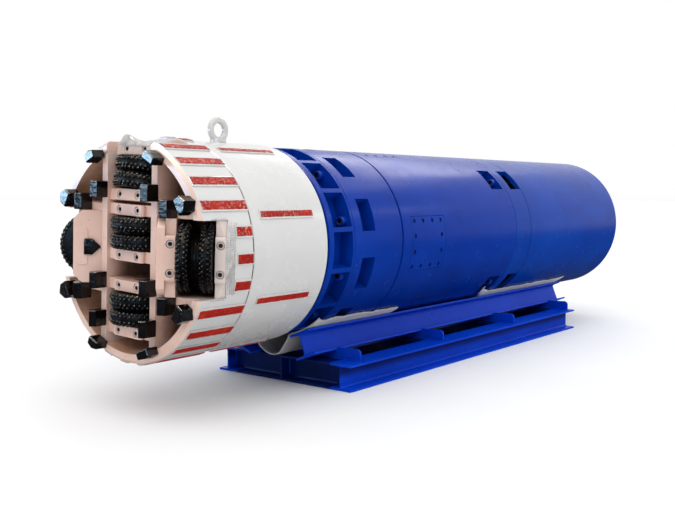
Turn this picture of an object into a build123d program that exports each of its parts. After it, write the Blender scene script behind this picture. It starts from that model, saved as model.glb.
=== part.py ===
from build123d import *
import os
from math import acos, atan2, cos, radians, sin, sqrt, tan

# Rock pipe jacking machine on its transport cradle.
# Millimetres, +Z up, origin on the floor under the middle of the machine.
# The machine lies along X with its cutterhead towards -X.  Stations "s" are
# measured from the front edge of the cutterhead rim, so x = s - MID.

os.makedirs("parts", exist_ok=True)

# ---------------------------------------------------------------- driving sizes
MID = 1609.8             # station that lies over the origin
AXIS_H = 552.0           # machine axis above the floor
HEAD_TURN = 2.8          # the cutterhead has stopped this far round, degrees

# stations along the machine
S_HEAD_END = 206.0
S_SHIELD = 213.0
S_SHIELD_END = 582.0
S_BODY = 601.0           # first full-size ring of the rear body
S_JOINT = 750.0
S_SEAM0, S_SEAM1 = 1056.0, 1064.0
S_TAIL = 2018.0
S_BAND_END = 2169.0
S_BULK = 3010.0          # rear face of the rear bulkhead
S_STOP = 3150.0          # shoulder that the first jacking pipe bears on
S_END = 3276.0

# radii
R_HEAD, R_HEAD_IN = 370.0, 338.0
R_SHIELD, R_SHIELD_IN = 368.0, 358.0
R_BODY, R_BODY_IN = 360.0, 340.0
R_SPIGOT, R_SPIGOT_IN = 346.0, 326.0
R_SKIRT_IN = 350.5       # seat for the first jacking pipe
R_SHAFT = 60.0
FIT = 0.08               # radial clearance of running fits

# cutterhead
S_RIB = 5.0              # front edges of the column ribs
RIB_IN, RIB_T = 112.0, 27.0
ARM_IN, ARM_T = 122.0, 26.0          # cheeks beside the gauge cutters
S_BACK = 188.0                       # front face of the back plate
GAUGE_ALPHA = 50.0                   # gauge cutter axle, degrees from X
GAUGE_S, GAUGE_U = 19.8, 303.7       # middle of a gauge cutter's cap faces
BLOCK_OUT = 93.0                     # saddle blocks, along the cutter's axle
BLOCK_IN = {0: 57.0, -1: 61.0, 1: 61.0}
RING_AT = {0: 28.5, -1: 36.0, 1: 36.0}   # a cutter's two rings, along its axle
RING_HALF = {0: 22.0, -1: 18.0, 1: 18.0}
CAP_HALF = 72.0
CAP_H = 62.0                         # cap face above the axle
AXLE_R = 24.0
BORE_R = AXLE_R + FIT
BARS = 27                            # wear bars round the head
BAR_PITCH = 360.0 / BARS

# cradle
PHI = 21.5                           # saddle beams lean this far from upright
R_SADDLE = 366.0                     # saddle flange's distance from the axis
HB, HF, HW = 100.0, 8.0, 6.0         # H-beam size, flange and web thickness
HR = 10.0                            # H-beam root radius
S_BASE0, S_BASE1 = 738.0, 2725.0
S_SAD0, S_SAD1 = 690.0, 2897.0
BASE_Y = 298.0
CROSS_S = (788.0, 1420.0, 2070.0, 2675.0)
GUSSET_S = (830.0, 1420.0, 2070.0, 2690.0)
LINER_T = 5.0

# ---------------------------------------------------------------- frames
c_t, s_t = cos(radians(HEAD_TURN)), sin(radians(HEAD_TURN))
X3 = Vector(1, 0, 0)
U3 = Vector(0, c_t, s_t)             # across the turned head
V3 = Vector(0, -s_t, c_t)            # up the turned head


def axial(s):
    """Plane across the machine at a station: local x is Y, local y is Z."""
    return Plane(origin=(s - MID, 0, AXIS_H), x_dir=(0, 1, 0), z_dir=(1, 0, 0))


def hp(s, u, v):
    """A point in the turned head's own frame."""
    return Vector(s - MID, 0, AXIS_H) + U3 * u + V3 * v


def head(s):
    """Plane across the turned head: local x is across, local y is up."""
    return Plane(origin=hp(s, 0, 0), x_dir=U3, z_dir=X3)


def polar_of(beta):
    """Angle up from the near side (-Y) as the plane's polar angle."""
    return 180.0 - beta


def ring(plane, r_out, r_in, length):
    """Tube section added to the running part."""
    with BuildSketch(plane) as section:
        Circle(r_out)
        Circle(r_in, mode=Mode.SUBTRACT)
    extrude(section.sketch, amount=length)


def rim_edges(part, radius):
    circles = part.edges().filter_by(GeomType.CIRCLE)
    return circles.filter_by(lambda e: abs(e.radius - radius) < 0.1)


def save(part, name):
    part.label = name
    export_step(part, f"parts/{name}.step")


def axes_of(side, lean):
    """Axle direction and outward direction of a cutter station."""
    if side == 0:
        c, s = cos(radians(lean)), sin(radians(lean))
        return V3 * c + X3 * s, X3 * -c + V3 * s
    c, s = cos(radians(GAUGE_ALPHA)), sin(radians(GAUGE_ALPHA))
    return X3 * c + U3 * (side * s), X3 * -s + U3 * (side * c)


# cutter stations: name, middle of the cap faces as s, u, v, side of the head
# (0 column, -1 near, +1 far), lean of the axle, ring radius
CUTTERS = [
    ("top_cutter", 15.0, 0.0, 257.0, 0, 10.0, 106.0),
    ("centre_cutter", 2.0, 0.0, 58.5, 0, 0.0, 106.0),
    ("lower_cutter", 2.0, 0.0, -191.5, 0, 0.0, 106.0),
    ("near_gauge_cutter", GAUGE_S, -GAUGE_U, 0.0, -1, 0.0, 114.0),
    ("far_gauge_cutter", GAUGE_S, GAUGE_U, 0.0, 1, 0.0, 114.0),
]

# ================================================================ cutterhead
# cylindrical shell with a bevelled front rim, cut open for the gauge cutters
with BuildPart() as head_shell:
    ring(head(0), R_HEAD, R_HEAD_IN, S_HEAD_END)
    chamfer(rim_edges(head_shell, R_HEAD).group_by(Axis.X)[0], 10)
    # notch for the top saddle block
    with BuildSketch(head(-1)):
        with Locations((0, R_HEAD)):
            Rectangle(2 * RIB_IN, 300)
    extrude(amount=158, mode=Mode.SUBTRACT)
    for side in (-1, 1):
        A, N = axes_of(side, 0)
        at = hp(GAUGE_S, side * GAUGE_U, 0) - A * 60
        with BuildSketch(Plane(origin=at, x_dir=N, z_dir=A)):
            with Locations((-20, 0)):
                Rectangle(246, 2 * ARM_IN)
        extrude(amount=60 + BLOCK_OUT + 1, mode=Mode.SUBTRACT)
save(head_shell.part, "head_shell")

with BuildPart() as head_back_plate:
    with BuildSketch(head(S_BACK)):
        Circle(R_HEAD_IN)
        # spoil ports
        with PolarLocations(236, 4, start_angle=45):
            SlotOverall(130, 60, rotation=90, mode=Mode.SUBTRACT)
    extrude(amount=S_HEAD_END - S_BACK)
save(head_back_plate.part, "head_back_plate")

with BuildPart() as main_shaft:
    with BuildSketch(head(S_HEAD_END)):
        Circle(R_SHAFT)
    extrude(amount=94)
save(main_shaft.part, "main_shaft")

# two ribs that make the column, trimmed by the shell
with BuildPart() as head_ribs:
    with BuildSketch(head(S_RIB)):
        for side in (-1, 1):
            with Locations((side * (RIB_IN + RIB_T / 2), 0)):
                Rectangle(RIB_T, 700)
        Circle(R_HEAD_IN, mode=Mode.INTERSECT)
    extrude(amount=S_BACK - S_RIB)
save(head_ribs.part, "head_ribs")


def gauge_point(a, n):
    """A point of the gauge housing's section, as (s, u) on the far side."""
    c, s = cos(radians(GAUGE_ALPHA)), sin(radians(GAUGE_ALPHA))
    return GAUGE_S + a * c - n * s, GAUGE_U + a * s + n * c


# cheeks above and below each gauge cutter, from the ribs out to the shell
RIB_OUT = RIB_IN + RIB_T
S_ARM = 6.0              # front edges of the cheeks, behind the housing's nose
ARM_OUTLINE = [
    (S_BACK, RIB_OUT), (S_ARM, RIB_OUT), (S_ARM, gauge_point(-31, -8)[1]),
    gauge_point(BLOCK_OUT, -8), (S_BACK, 362.0),
]
with BuildPart() as head_arms:
    for side in (-1, 1):
        for v in (ARM_IN, -ARM_IN - ARM_T):
            with BuildSketch(Plane(origin=hp(0, 0, v), x_dir=X3, z_dir=V3)):
                Polygon(*[(s, side * u) for s, u in ARM_OUTLINE], align=None)
            extrude(amount=ARM_T)
    with BuildSketch(head(-100)):
        Circle(R_HEAD_IN)
    extrude(amount=400, mode=Mode.INTERSECT)
save(head_arms.part, "head_arms")

# inner wall of each gauge housing, with its two front corners cut off
WALL_T = 25.5
with BuildPart() as gauge_walls:
    for side in (-1, 1):
        A, N = axes_of(side, 0)
        at = hp(GAUGE_S, side * GAUGE_U, 0) - A * (BLOCK_OUT + WALL_T)
        with BuildSketch(Plane(origin=at, x_dir=N, z_dir=A)):
            Polygon((-170, -ARM_IN), (-28, -ARM_IN), (0, -ARM_IN + 28), (0, ARM_IN - 28),
                    (-28, ARM_IN), (-170, ARM_IN), align=None)
        extrude(amount=WALL_T)
    with BuildSketch(head(-100)):
        Rectangle(2 * RIB_OUT, 800)
    extrude(amount=400, mode=Mode.SUBTRACT)
save(gauge_walls.part, "gauge_walls")

# seats that carry the axle ends, welded between the ribs or the cheeks
with BuildPart() as cutter_seats:
    for _, s, u, v, side, lean, ring_r in CUTTERS:
        A, N = axes_of(side, lean)
        c = hp(s, u, v) - N * CAP_H
        wide = RIB_IN if side == 0 else ARM_IN
        back = 84.0 if side else 60.0 if lean else 96.0
        for end in (-BLOCK_OUT, BLOCK_IN[side]):
            with BuildSketch(Plane(origin=c + A * end, x_dir=N, z_dir=A)):
                with Locations((-back / 2, 0)):
                    Rectangle(back, 2 * wide)
                for t in (-1, 1):
                    with Locations(((CAP_H - 16) / 2, t * (wide + CAP_HALF) / 2)):
                        Rectangle(CAP_H - 16, wide - CAP_HALF)
                Circle(AXLE_R, mode=Mode.SUBTRACT)
            extrude(amount=BLOCK_OUT - BLOCK_IN[side])
    # kept clear of the ribs and inside the shell's skin
    with BuildSketch(head(-100)):
        Circle(R_HEAD - 4)
        for t in (-1, 1):
            with Locations((t * (RIB_IN + RIB_T / 2), 0)):
                Rectangle(RIB_T, 800, mode=Mode.SUBTRACT)
    extrude(amount=100 + S_BACK, mode=Mode.INTERSECT)
save(cutter_seats.part, "cutter_seats")

# bolted caps over the axle ends, with sunk bolt holes
BOLT_HALF, SINK_R, SINK_D = 45.0, 13.5, 18.0
with BuildPart() as cutter_caps:
    for _, s, u, v, side, lean, ring_r in CUTTERS:
        A, N = axes_of(side, lean)
        c = hp(s, u, v) - N * CAP_H
        half = CAP_HALF - 0.5
        thick = BLOCK_OUT - BLOCK_IN[side]
        for end in (-BLOCK_OUT, BLOCK_IN[side]):
            with BuildSketch(Plane(origin=c + A * end, x_dir=N, z_dir=A)):
                Polygon((0, -half), (CAP_H - 6, -half), (CAP_H, -half + 6), (CAP_H, half - 6),
                        (CAP_H - 6, half), (0, half), align=None)
                Circle(AXLE_R, mode=Mode.SUBTRACT)
            extrude(amount=thick)
            face = c + A * (end + thick / 2) + N * CAP_H
            with BuildSketch(Plane(origin=face, x_dir=A, z_dir=N)):
                with Locations((0, BOLT_HALF), (0, -BOLT_HALF)):
                    Circle(SINK_R)
            extrude(amount=-SINK_D, mode=Mode.SUBTRACT)
    with BuildSketch(head(-100)):
        Circle(R_HEAD + 6)
    extrude(amount=400, mode=Mode.INTERSECT)
save(cutter_caps.part, "cutter_caps")

with BuildPart() as cutter_axles:
    for _, s, u, v, side, lean, ring_r in CUTTERS:
        A, N = axes_of(side, lean)
        with BuildSketch(Plane(origin=hp(s, u, v) - N * CAP_H - A * (BLOCK_OUT - 4), x_dir=N, z_dir=A)):
            Circle(AXLE_R)
        extrude(amount=2 * (BLOCK_OUT - 4))
save(cutter_axles.part, "cutter_axles")


def cutter_profile(ring_r, ring_at, ring_half, end):
    """Half section of a twin-ring roller cutter as (radius, along the axle)."""
    # columns: depth below the ring's tip, offset from the ring's middle as a
    # share of the ring's half width
    ring_steps = [(12, 1.0), (3, 0.64), (0, 0.29), (0, -0.29), (3, -0.64), (12, -1.0)]
    half = [(BORE_R, end), (ring_r - 38, end)] + [(ring_r - d, ring_at + a * ring_half) for d, a in ring_steps]
    half.append((ring_r - 44, (ring_at - ring_half) * 0.7))
    return half + [(r, -a) for r, a in reversed(half)]


for name, s, u, v, side, lean, ring_r in CUTTERS:
    A, N = axes_of(side, lean)
    c = hp(s, u, v) - N * CAP_H
    with BuildPart() as cutter:
        with BuildSketch(Plane(origin=c, x_dir=N, z_dir=N.cross(A))):
            Polygon(*cutter_profile(ring_r, RING_AT[side], RING_HALF[side], BLOCK_IN[side] - 6), align=None)
        revolve(axis=Axis(c, A))
    save(cutter.part, name)

# scraper blocks on the face: on the column ribs, on the front edges of the
# cheeks, and one on each gauge housing's inner wall
PICK_H, PICK_L = 54.0, 58.0
# columns: base station, width, reach, places as (u, v)
PICK_ROWS = [
    (S_RIB, 36.0, PICK_L, [(-128, 195), (128, 195), (-128, -106), (128, -106), (-128, -235), (128, -235)]),
    (S_ARM, 42.0, PICK_L, [(-216, 151), (216, 151), (-216, -151), (216, -151)]),
]
with BuildPart() as face_picks:
    for base, width, reach, places in PICK_ROWS:
        for u, v in places:
            with BuildSketch(Plane(origin=hp(base, u, v), x_dir=X3 * -1, z_dir=V3)):
                Polygon((0, -width / 2), (reach - 14, -width / 2), (reach, 0),
                        (reach - 14, width / 2), (0, width / 2), align=None)
            extrude(amount=PICK_H / 2, both=True)
    for side in (-1, 1):
        A, N = axes_of(side, 0)
        at = hp(GAUGE_S, side * GAUGE_U, 0) - A * (BLOCK_OUT + WALL_T) - N * 62
        with BuildSketch(Plane(origin=at, x_dir=N, z_dir=A * -1)):
            Polygon((27, -27), (0, -27), (-29, 0), (0, 27), (27, 27), align=None)
        extrude(amount=8)
save(face_picks.part, "face_picks")

# house-shaped gauge scrapers on the rim, slimmer ones near the crown and the
# bottom: polar angle in the head frame, radius, half width, shoulder, tip
RIM_PICKS = [(-69.0, 340, 24, 12, 20), (-29.2, 322, 27, 14, 34), (29.2, 322, 27, 14, 34), (64.0, 336, 24, 12, 20),
             (116.0, 340, 28, 12, 16), (150.8, 338, 27, 14, 34), (209.2, 338, 27, 14, 34), (246.5, 342, 28, 12, 16)]
with BuildPart() as rim_picks:
    for angle, radius, half, shoulder, tip in RIM_PICKS:
        with BuildSketch(head(0)):
            with PolarLocations(radius, 1, start_angle=angle):
                Polygon((-14, -half), (shoulder, -half), (tip, 0), (shoulder, half), (-14, half), align=None)
        extrude(amount=-45)
    chamfer(rim_picks.faces().group_by(Axis.X)[0].edges(), 3)
save(rim_picks.part, "rim_picks")

# wear bars round the head: long ones, short ones behind the gauge cutters and
# shorter ones behind the crown notch; polar angles in the head frame
BAR_W, FACING_W = 40.0, 31.0
BAR_AT = [(180.0 + k * BAR_PITCH) % 360.0 for k in range(BARS)]
SHORT_BARS = [a for a in BAR_AT if abs((a + 90.0) % 180.0 - 90.0) < 22.5]
CROWN_BARS = [a for a in BAR_AT if abs(a - 90.0) < 20.0]
LONG_BARS = [a for a in BAR_AT if a not in SHORT_BARS + CROWN_BARS]
R_BAR, R_FACING = R_HEAD + 4.0, R_HEAD + 7.0
# columns: first bar station, length, which bars
BAR_ROWS = [(11.0, 194.0, LONG_BARS), (134.0, 71.0, SHORT_BARS), (160.0, 45.0, CROWN_BARS)]
with BuildPart() as head_bars:
    for s, length, which in BAR_ROWS:
        with BuildSketch(head(s)):
            for angle in which:
                with PolarLocations(R_BAR - 7, 1, start_angle=angle):
                    Rectangle(14, BAR_W)
            Circle(R_HEAD, mode=Mode.SUBTRACT)
        extrude(amount=length)
save(head_bars.part, "head_bars")

with BuildPart() as head_bar_facings:
    for s, length, which in BAR_ROWS:
        with BuildSketch(head(s + 1)):
            for angle in which:
                with PolarLocations((R_BAR + R_FACING) / 2, 1, start_angle=angle):
                    Rectangle(R_FACING - R_BAR, FACING_W)
        extrude(amount=length - 2)
save(head_bar_facings.part, "head_bar_facings")

# ================================================================ front shield
EYE_X, EYE_Z = 410.0 - MID, AXIS_H + R_SHIELD
with BuildPart() as shield_shell:
    ring(axial(S_SHIELD), R_SHIELD, R_SHIELD_IN, S_SHIELD_END - S_SHIELD)
    chamfer(rim_edges(shield_shell, R_SHIELD), 2.5)
    with BuildSketch(Plane(origin=(EYE_X, 0, EYE_Z), z_dir=(0, 0, 1))):
        Circle(12)
    extrude(amount=-30, mode=Mode.SUBTRACT)
save(shield_shell.part, "shield_shell")

with BuildPart() as front_bulkhead:
    ring(axial(216), R_SHIELD_IN, R_SHAFT + FIT, 26)
save(front_bulkhead.part, "front_bulkhead")

# gearbox and motor as one plain mass behind the bulkhead
with BuildPart() as main_drive:
    ring(axial(242), 230, R_SHAFT + FIT, 62)
    with BuildSketch(axial(304)):
        Circle(230)
    extrude(amount=266)
save(main_drive.part, "main_drive")

SHIELD_BARS = 8
with BuildPart() as shield_bars:
    with BuildSketch(axial(257)):
        with PolarLocations(R_SHIELD - 3, SHIELD_BARS, start_angle=polar_of(18.8)):
            Rectangle(14, 32)
        Circle(R_SHIELD, mode=Mode.SUBTRACT)
    extrude(amount=260)
save(shield_bars.part, "shield_bars")

with BuildPart() as shield_bar_facings:
    with BuildSketch(axial(258)):
        with PolarLocations(R_SHIELD + 5.5, SHIELD_BARS, start_angle=polar_of(18.8)):
            Rectangle(3, 22)
    extrude(amount=258)
save(shield_bar_facings.part, "shield_bar_facings")

# lifting eye on the crown: ring, collar and shank
with BuildPart() as lifting_eye:
    with BuildSketch(Plane(origin=(EYE_X, 0, EYE_Z), z_dir=(0, 0, 1))):
        Circle(29)
    extrude(amount=12)
    with BuildSketch(Plane(origin=(EYE_X, 0, EYE_Z), z_dir=(0, 0, 1))):
        Circle(12)
    extrude(amount=-10)
    eye = Vector(EYE_X, 0, EYE_Z + 44)
    with BuildSketch(Plane(origin=eye, x_dir=(1, 0, 0), z_dir=(0, 0, 1))):
        Polygon((25, -6), (25, 6), (29, 10), (41, 10), (45, 6), (45, -6), (41, -10), (29, -10), align=None)
    revolve(axis=Axis(eye, (0, 1, 0)))
save(lifting_eye.part, "lifting_eye")

# ================================================================ steering joint
with BuildPart() as steering_ring:
    ring(axial(540), 354.0, 348.5, 12)
save(steering_ring.part, "steering_ring")


# ================================================================ rear body
def pocket(half_angle, r_in, r_out, r_at):
    """Corner points of a radial pocket about a polar location at radius r_at."""
    k = tan(radians(half_angle))
    return [(r_in - r_at, -r_in * k), (r_out - r_at, -r_out * k),
            (r_out - r_at, r_out * k), (r_in - r_at, r_in * k)]


# flange ring: spigot under the shield's skirt, then a band of bolt pockets
R_RING_IN = 280.0
ROW1_S, ROW1_L, ROW1_N, ROW1_AT = 628.0, 109.0, 15, polar_of(21.0)
with BuildPart() as flange_ring:
    ring(axial(470), R_SPIGOT, R_SPIGOT_IN, S_BODY - 470)
    ring(axial(S_BODY), R_BODY, R_RING_IN, S_JOINT - S_BODY)
    chamfer(rim_edges(flange_ring, R_BODY), 2.5)
    with BuildSketch(axial(ROW1_S)):
        with PolarLocations(340, ROW1_N, start_angle=ROW1_AT):
            Polygon(*pocket(10.6, 300, 390, 340), align=None)
    extrude(amount=ROW1_L, mode=Mode.SUBTRACT)
save(flange_ring.part, "flange_ring")

with BuildPart() as front_can:
    ring(axial(S_JOINT), R_BODY, R_RING_IN, 160)
    ring(axial(S_JOINT + 160), R_BODY, R_BODY_IN, S_SEAM0 - S_JOINT - 160)
    chamfer(rim_edges(front_can, R_BODY), 2.5)
    with BuildSketch(axial(797)):
        with PolarLocations(340, 10, start_angle=polar_of(17.3)):
            Polygon(*pocket(10.0, 306, 390, 340), align=None)
    extrude(amount=80, mode=Mode.SUBTRACT)
save(front_can.part, "front_can")

# main can: register lip under the front can, hand holes with rebated covers,
# thick end ring with the tail-joint pockets
COVER_S, COVER_L = 1125.0, 250.0
COVER_AT, COVER_HALF = (-3.0, 87.0, 177.0), 18.0
TAIL_AT, TAIL_N = polar_of(44.0), 4
with BuildPart() as main_can:
    ring(axial(S_SEAM0 - 30), R_BODY_IN, R_BODY_IN - 16, S_SEAM1 - S_SEAM0 + 60)
    ring(axial(S_SEAM1), R_BODY, R_BODY_IN, 1850 - S_SEAM1)
    ring(axial(1850), R_BODY, 296, S_TAIL - 1850)
    chamfer(rim_edges(main_can, R_BODY), 2.5)
    for beta in COVER_AT:
        with BuildSketch(axial(COVER_S)):
            with PolarLocations(R_BODY, 1, start_angle=polar_of(beta)):
                Polygon(*pocket(COVER_HALF, R_BODY - 60, R_BODY + 30, R_BODY), align=None)
            Circle(R_BODY - 9, mode=Mode.SUBTRACT)
        extrude(amount=COVER_L, mode=Mode.SUBTRACT)
        with BuildSketch(axial(COVER_S + 44)):
            with PolarLocations(R_BODY, 1, start_angle=polar_of(beta)):
                Rectangle(80, 150)
        extrude(amount=COVER_L - 88, mode=Mode.SUBTRACT)
    with BuildSketch(axial(1879)):
        with PolarLocations(340, TAIL_N, start_angle=TAIL_AT):
            Polygon(*pocket(9.75, 312, 390, 340), align=None)
    extrude(amount=108, mode=Mode.SUBTRACT)
save(main_can.part, "main_can")

with BuildPart() as inspection_covers:
    for beta in COVER_AT:
        with BuildSketch(axial(COVER_S + 1.5)) as cover:
            with PolarLocations(R_BODY, 1, start_angle=polar_of(beta)):
                Polygon(*pocket(COVER_HALF - 0.25, R_BODY - 60, R_BODY + 30, R_BODY), align=None)
            Circle(R_BODY, mode=Mode.INTERSECT)
            Circle(R_BODY - 9, mode=Mode.SUBTRACT)
        extrude(amount=COVER_L - 3)
    # sunk bolt holes: stations and angles from the cover's middle
    rows = [(s, side * 15.0) for side in (-1, 1) for s in (1147.0, 1211.0, 1279.0, 1344.0)]
    rows += [(s, side * 5.2) for side in (-1, 1) for s in (1147.0, 1344.0)]
    for beta in COVER_AT:
        for s, off in rows:
            b = radians(beta + off)
            out = Vector(0, -cos(b), sin(b))
            with BuildSketch(Plane(origin=Vector(s - MID, 0, AXIS_H) + out * (R_BODY + 3), x_dir=X3, z_dir=out)):
                Circle(9.5)
            extrude(amount=-8.5, mode=Mode.SUBTRACT)
save(inspection_covers.part, "inspection_covers")

# tail can: pocketed flange, long skin, thin skirt that takes the first pipe
with BuildPart() as tail_can:
    ring(axial(S_TAIL), R_BODY, 296, S_BAND_END - S_TAIL)
    ring(axial(S_BAND_END), R_BODY, R_BODY_IN, S_STOP - S_BAND_END)
    ring(axial(S_STOP), R_BODY, R_SKIRT_IN, S_END - S_STOP)
    chamfer(rim_edges(tail_can, R_BODY), 2)
    # groove behind the flange
    with BuildSketch(axial(S_BAND_END - 2)):
        Circle(R_BODY + 1)
        Circle(R_BODY - 2, mode=Mode.SUBTRACT)
    extrude(amount=4, mode=Mode.SUBTRACT)
    with BuildSketch(axial(2066)):
        with PolarLocations(340, TAIL_N, start_angle=TAIL_AT):
            Polygon(*pocket(9.75, 312, 390, 340), align=None)
    extrude(amount=103, mode=Mode.SUBTRACT)
save(tail_can.part, "tail_can")

# slurry lines leave through the rear bulkhead: y, z from the axis
SLURRY_AT = ((-130.0, -170.0), (130.0, -170.0))
SLURRY_R, SLURRY_BORE = 57.0, 51.0
GLAND_AT = ((-170.0, 120.0), (170.0, 120.0))
with BuildPart() as rear_bulkhead:
    with BuildSketch(axial(S_BULK - 16)):
        Circle(R_BODY_IN)
        with Locations(*SLURRY_AT):
            Circle(SLURRY_R, mode=Mode.SUBTRACT)
        with Locations(*GLAND_AT):
            Circle(24, mode=Mode.SUBTRACT)
    extrude(amount=16)
save(rear_bulkhead.part, "rear_bulkhead")

for name, (y, z) in zip(("slurry_feed_pipe", "slurry_return_pipe"), SLURRY_AT):
    with BuildPart() as pipe:
        with BuildSketch(axial(S_BULK - 16)):
            with Locations((y, z)):
                Circle(SLURRY_R)
        extrude(amount=126)
        with BuildSketch(axial(S_BULK + 110)):
            with Locations((y, z)):
                Circle(88)
                with PolarLocations(73, 8, start_angle=22.5):
                    Circle(7, mode=Mode.SUBTRACT)
        extrude(amount=18)
        with BuildSketch(axial(S_BULK - 16)):
            with Locations((y, z)):
                Circle(SLURRY_BORE)
        extrude(amount=144, mode=Mode.SUBTRACT)
    save(pipe.part, name)

# junction box and cable glands on the bulkhead
with BuildPart() as junction_box:
    with BuildSketch(axial(S_BULK)):
        with Locations((0, 90)):
            RectangleRounded(230, 180, 10)
    extrude(amount=90)
save(junction_box.part, "junction_box")

with BuildPart() as cable_glands:
    for start, length, radius in ((S_BULK - 16, 16, 24), (S_BULK, 22, 32), (S_BULK + 22, 26, 23)):
        with BuildSketch(axial(start)):
            with Locations(*GLAND_AT):
                Circle(radius)
        extrude(amount=length)
    with BuildSketch(axial(S_BULK + 48)):
        with Locations(*GLAND_AT):
            Circle(13)
    extrude(amount=-64, mode=Mode.SUBTRACT)
save(cable_glands.part, "cable_glands")

# hydraulic power unit as one plain mass ahead of the bulkhead
with BuildPart() as power_unit:
    with BuildSketch(axial(2250)):
        with Locations((0, 70)):
            Rectangle(380, 340)
    extrude(amount=S_BULK - 16 - 2250)
save(power_unit.part, "power_unit")

# ================================================================ cradle
BASE_TOP = HB - AXIS_H               # cradle base top, from the axis


def h_section():
    """H section about the sketch origin, web along local y."""
    Rectangle(HW, HB - 2 * HF)
    with Locations((0, HB / 2 - HF / 2), (0, -HB / 2 + HF / 2)):
        Rectangle(HB, HF)
    # root fillets
    corners = [(x, y) for x in (-1, 1) for y in (-1, 1)]
    with Locations(*[(x * (HW + HR) / 2, y * (HB / 2 - HF - HR / 2)) for x, y in corners]):
        Rectangle(HR, HR)
    with Locations(*[(x * (HW / 2 + HR), y * (HB / 2 - HF - HR)) for x, y in corners]):
        Circle(HR, mode=Mode.SUBTRACT)


for name, y in (("base_beam_near", -BASE_Y), ("base_beam_far", BASE_Y)):
    with BuildPart() as base_beam:
        with BuildSketch(Plane(origin=(S_BASE0 - MID, y, HB / 2), x_dir=(0, 1, 0), z_dir=(1, 0, 0))):
            h_section()
        extrude(amount=S_BASE1 - S_BASE0)
    save(base_beam.part, name)

# cross beams, coped between the flanges of the long beams
CROSS_HALF = BASE_Y - HB / 2
with BuildPart() as cross_beams:
    for s in CROSS_S:
        with BuildSketch(Plane(origin=(s - MID, -CROSS_HALF, HB / 2), x_dir=(-1, 0, 0), z_dir=(0, 1, 0))):
            h_section()
        extrude(amount=2 * CROSS_HALF)
        with BuildSketch(Plane(origin=(s - MID, -BASE_Y + HW / 2, HB / 2), x_dir=(-1, 0, 0), z_dir=(0, 1, 0))):
            Rectangle(HW, HB - 2 * HF - 2 * HR)
        extrude(amount=2 * (BASE_Y - HW / 2))
save(cross_beams.part, "cross_beams")

cp, sp = cos(radians(PHI)), sin(radians(PHI))
for name, side in (("saddle_beam_near", -1), ("saddle_beam_far", 1)):
    down = Vector(0, side * sp, -cp)
    at = Vector(S_SAD0 - MID, 0, AXIS_H) + down * (R_SADDLE + HB / 2)
    with BuildPart() as saddle_beam:
        with BuildSketch(Plane(origin=at, x_dir=down.cross(X3), z_dir=X3)):
            h_section()
        extrude(amount=S_SAD1 - S_SAD0)
    save(saddle_beam.part, name)

# gusset plates between the leaning saddle beams and the base
low, high = R_SADDLE + HB, R_SADDLE + HB - HF
tip = (-(low * sp - HB / 2 * cp), -(low * cp + HB / 2 * sp))
knee = (-(low * sp + HB / 2 * cp), -(low * cp - HB / 2 * sp))
lip = (-(high * sp + HB / 2 * cp), -(high * cp - HB / 2 * sp))
GUSSET = [tip, knee, lip, (-309, lip[1] + 2), (-320, lip[1] - 3), (-325, lip[1] - 14), (-325, BASE_TOP), (tip[0], BASE_TOP)]
with BuildPart() as saddle_gussets:
    for s in GUSSET_S:
        for side in (1, -1):
            with BuildSketch(axial(s - 5)):
                Polygon(*[(side * y, z) for y, z in GUSSET], align=None)
            extrude(amount=10)
save(saddle_gussets.part, "saddle_gussets")

with BuildPart() as beam_stiffeners:
    for s in (CROSS_S[0], CROSS_S[-1]):
        for side in (-1, 1):
            with BuildSketch(Plane(origin=(s - MID, 0, HB / 2), x_dir=(1, 0, 0), z_dir=(0, -1, 0))):
                x0, x1, tall, cut = HW / 2, HB / 2, HB / 2 - HF, HR + 1
                Polygon(*[(side * x, z) for x, z in (
                    (x0, -tall + cut), (x0 + cut, -tall), (x1, -tall), (x1, tall), (x0 + cut, tall), (x0, tall - cut))],
                    align=None)
            extrude(amount=5, both=True)
save(beam_stiffeners.part, "beam_stiffeners")

# padding sheets laid over both saddle beams, sagging between them
SAG_R, SAG_Z = 60.0, -384.0          # round bottom of the sag, from the axis
EDGE = HB / 2 + 3
# columns: name, first station, length, how far up the body the edges reach
LINERS = [("front_liner", 688.0, 512.0, 40.0), ("rear_liner", 1895.0, 955.0, 36.0)]
for name, s, length, reach in LINERS:
    r_mid = R_SADDLE - 0.2 - LINER_T / 2
    inner = (-(r_mid * sp - EDGE * cp), -(r_mid * cp + EDGE * sp))
    outer = (-(r_mid * sp + EDGE * cp), -(r_mid * cp - EDGE * sp))
    r_up = sqrt(r_mid ** 2 + EDGE ** 2) + 2
    top = (-r_up * sin(radians(reach)), -r_up * cos(radians(reach)))
    # where the straight fall from the flange meets the round
    d = sqrt(inner[0] ** 2 + (inner[1] - SAG_Z) ** 2)
    ang = atan2(inner[1] - SAG_Z, inner[0]) + acos(SAG_R / d)
    touch = (SAG_R * cos(ang), SAG_Z + SAG_R * sin(ang))
    mirror = [(-y, z) for y, z in (touch, inner, outer, top)]
    with BuildPart() as liner:
        with BuildSketch(axial(s)):
            with BuildLine() as middle:
                Polyline(top, outer, inner, touch)
                ThreePointArc(touch, (0, SAG_Z - SAG_R), mirror[0])
                Polyline(*mirror)
            trace(line_width=LINER_T)
        extrude(amount=length)
    save(liner.part, name)
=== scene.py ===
import math
import random
import bpy
import bmesh
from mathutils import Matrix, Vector, noise


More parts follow.
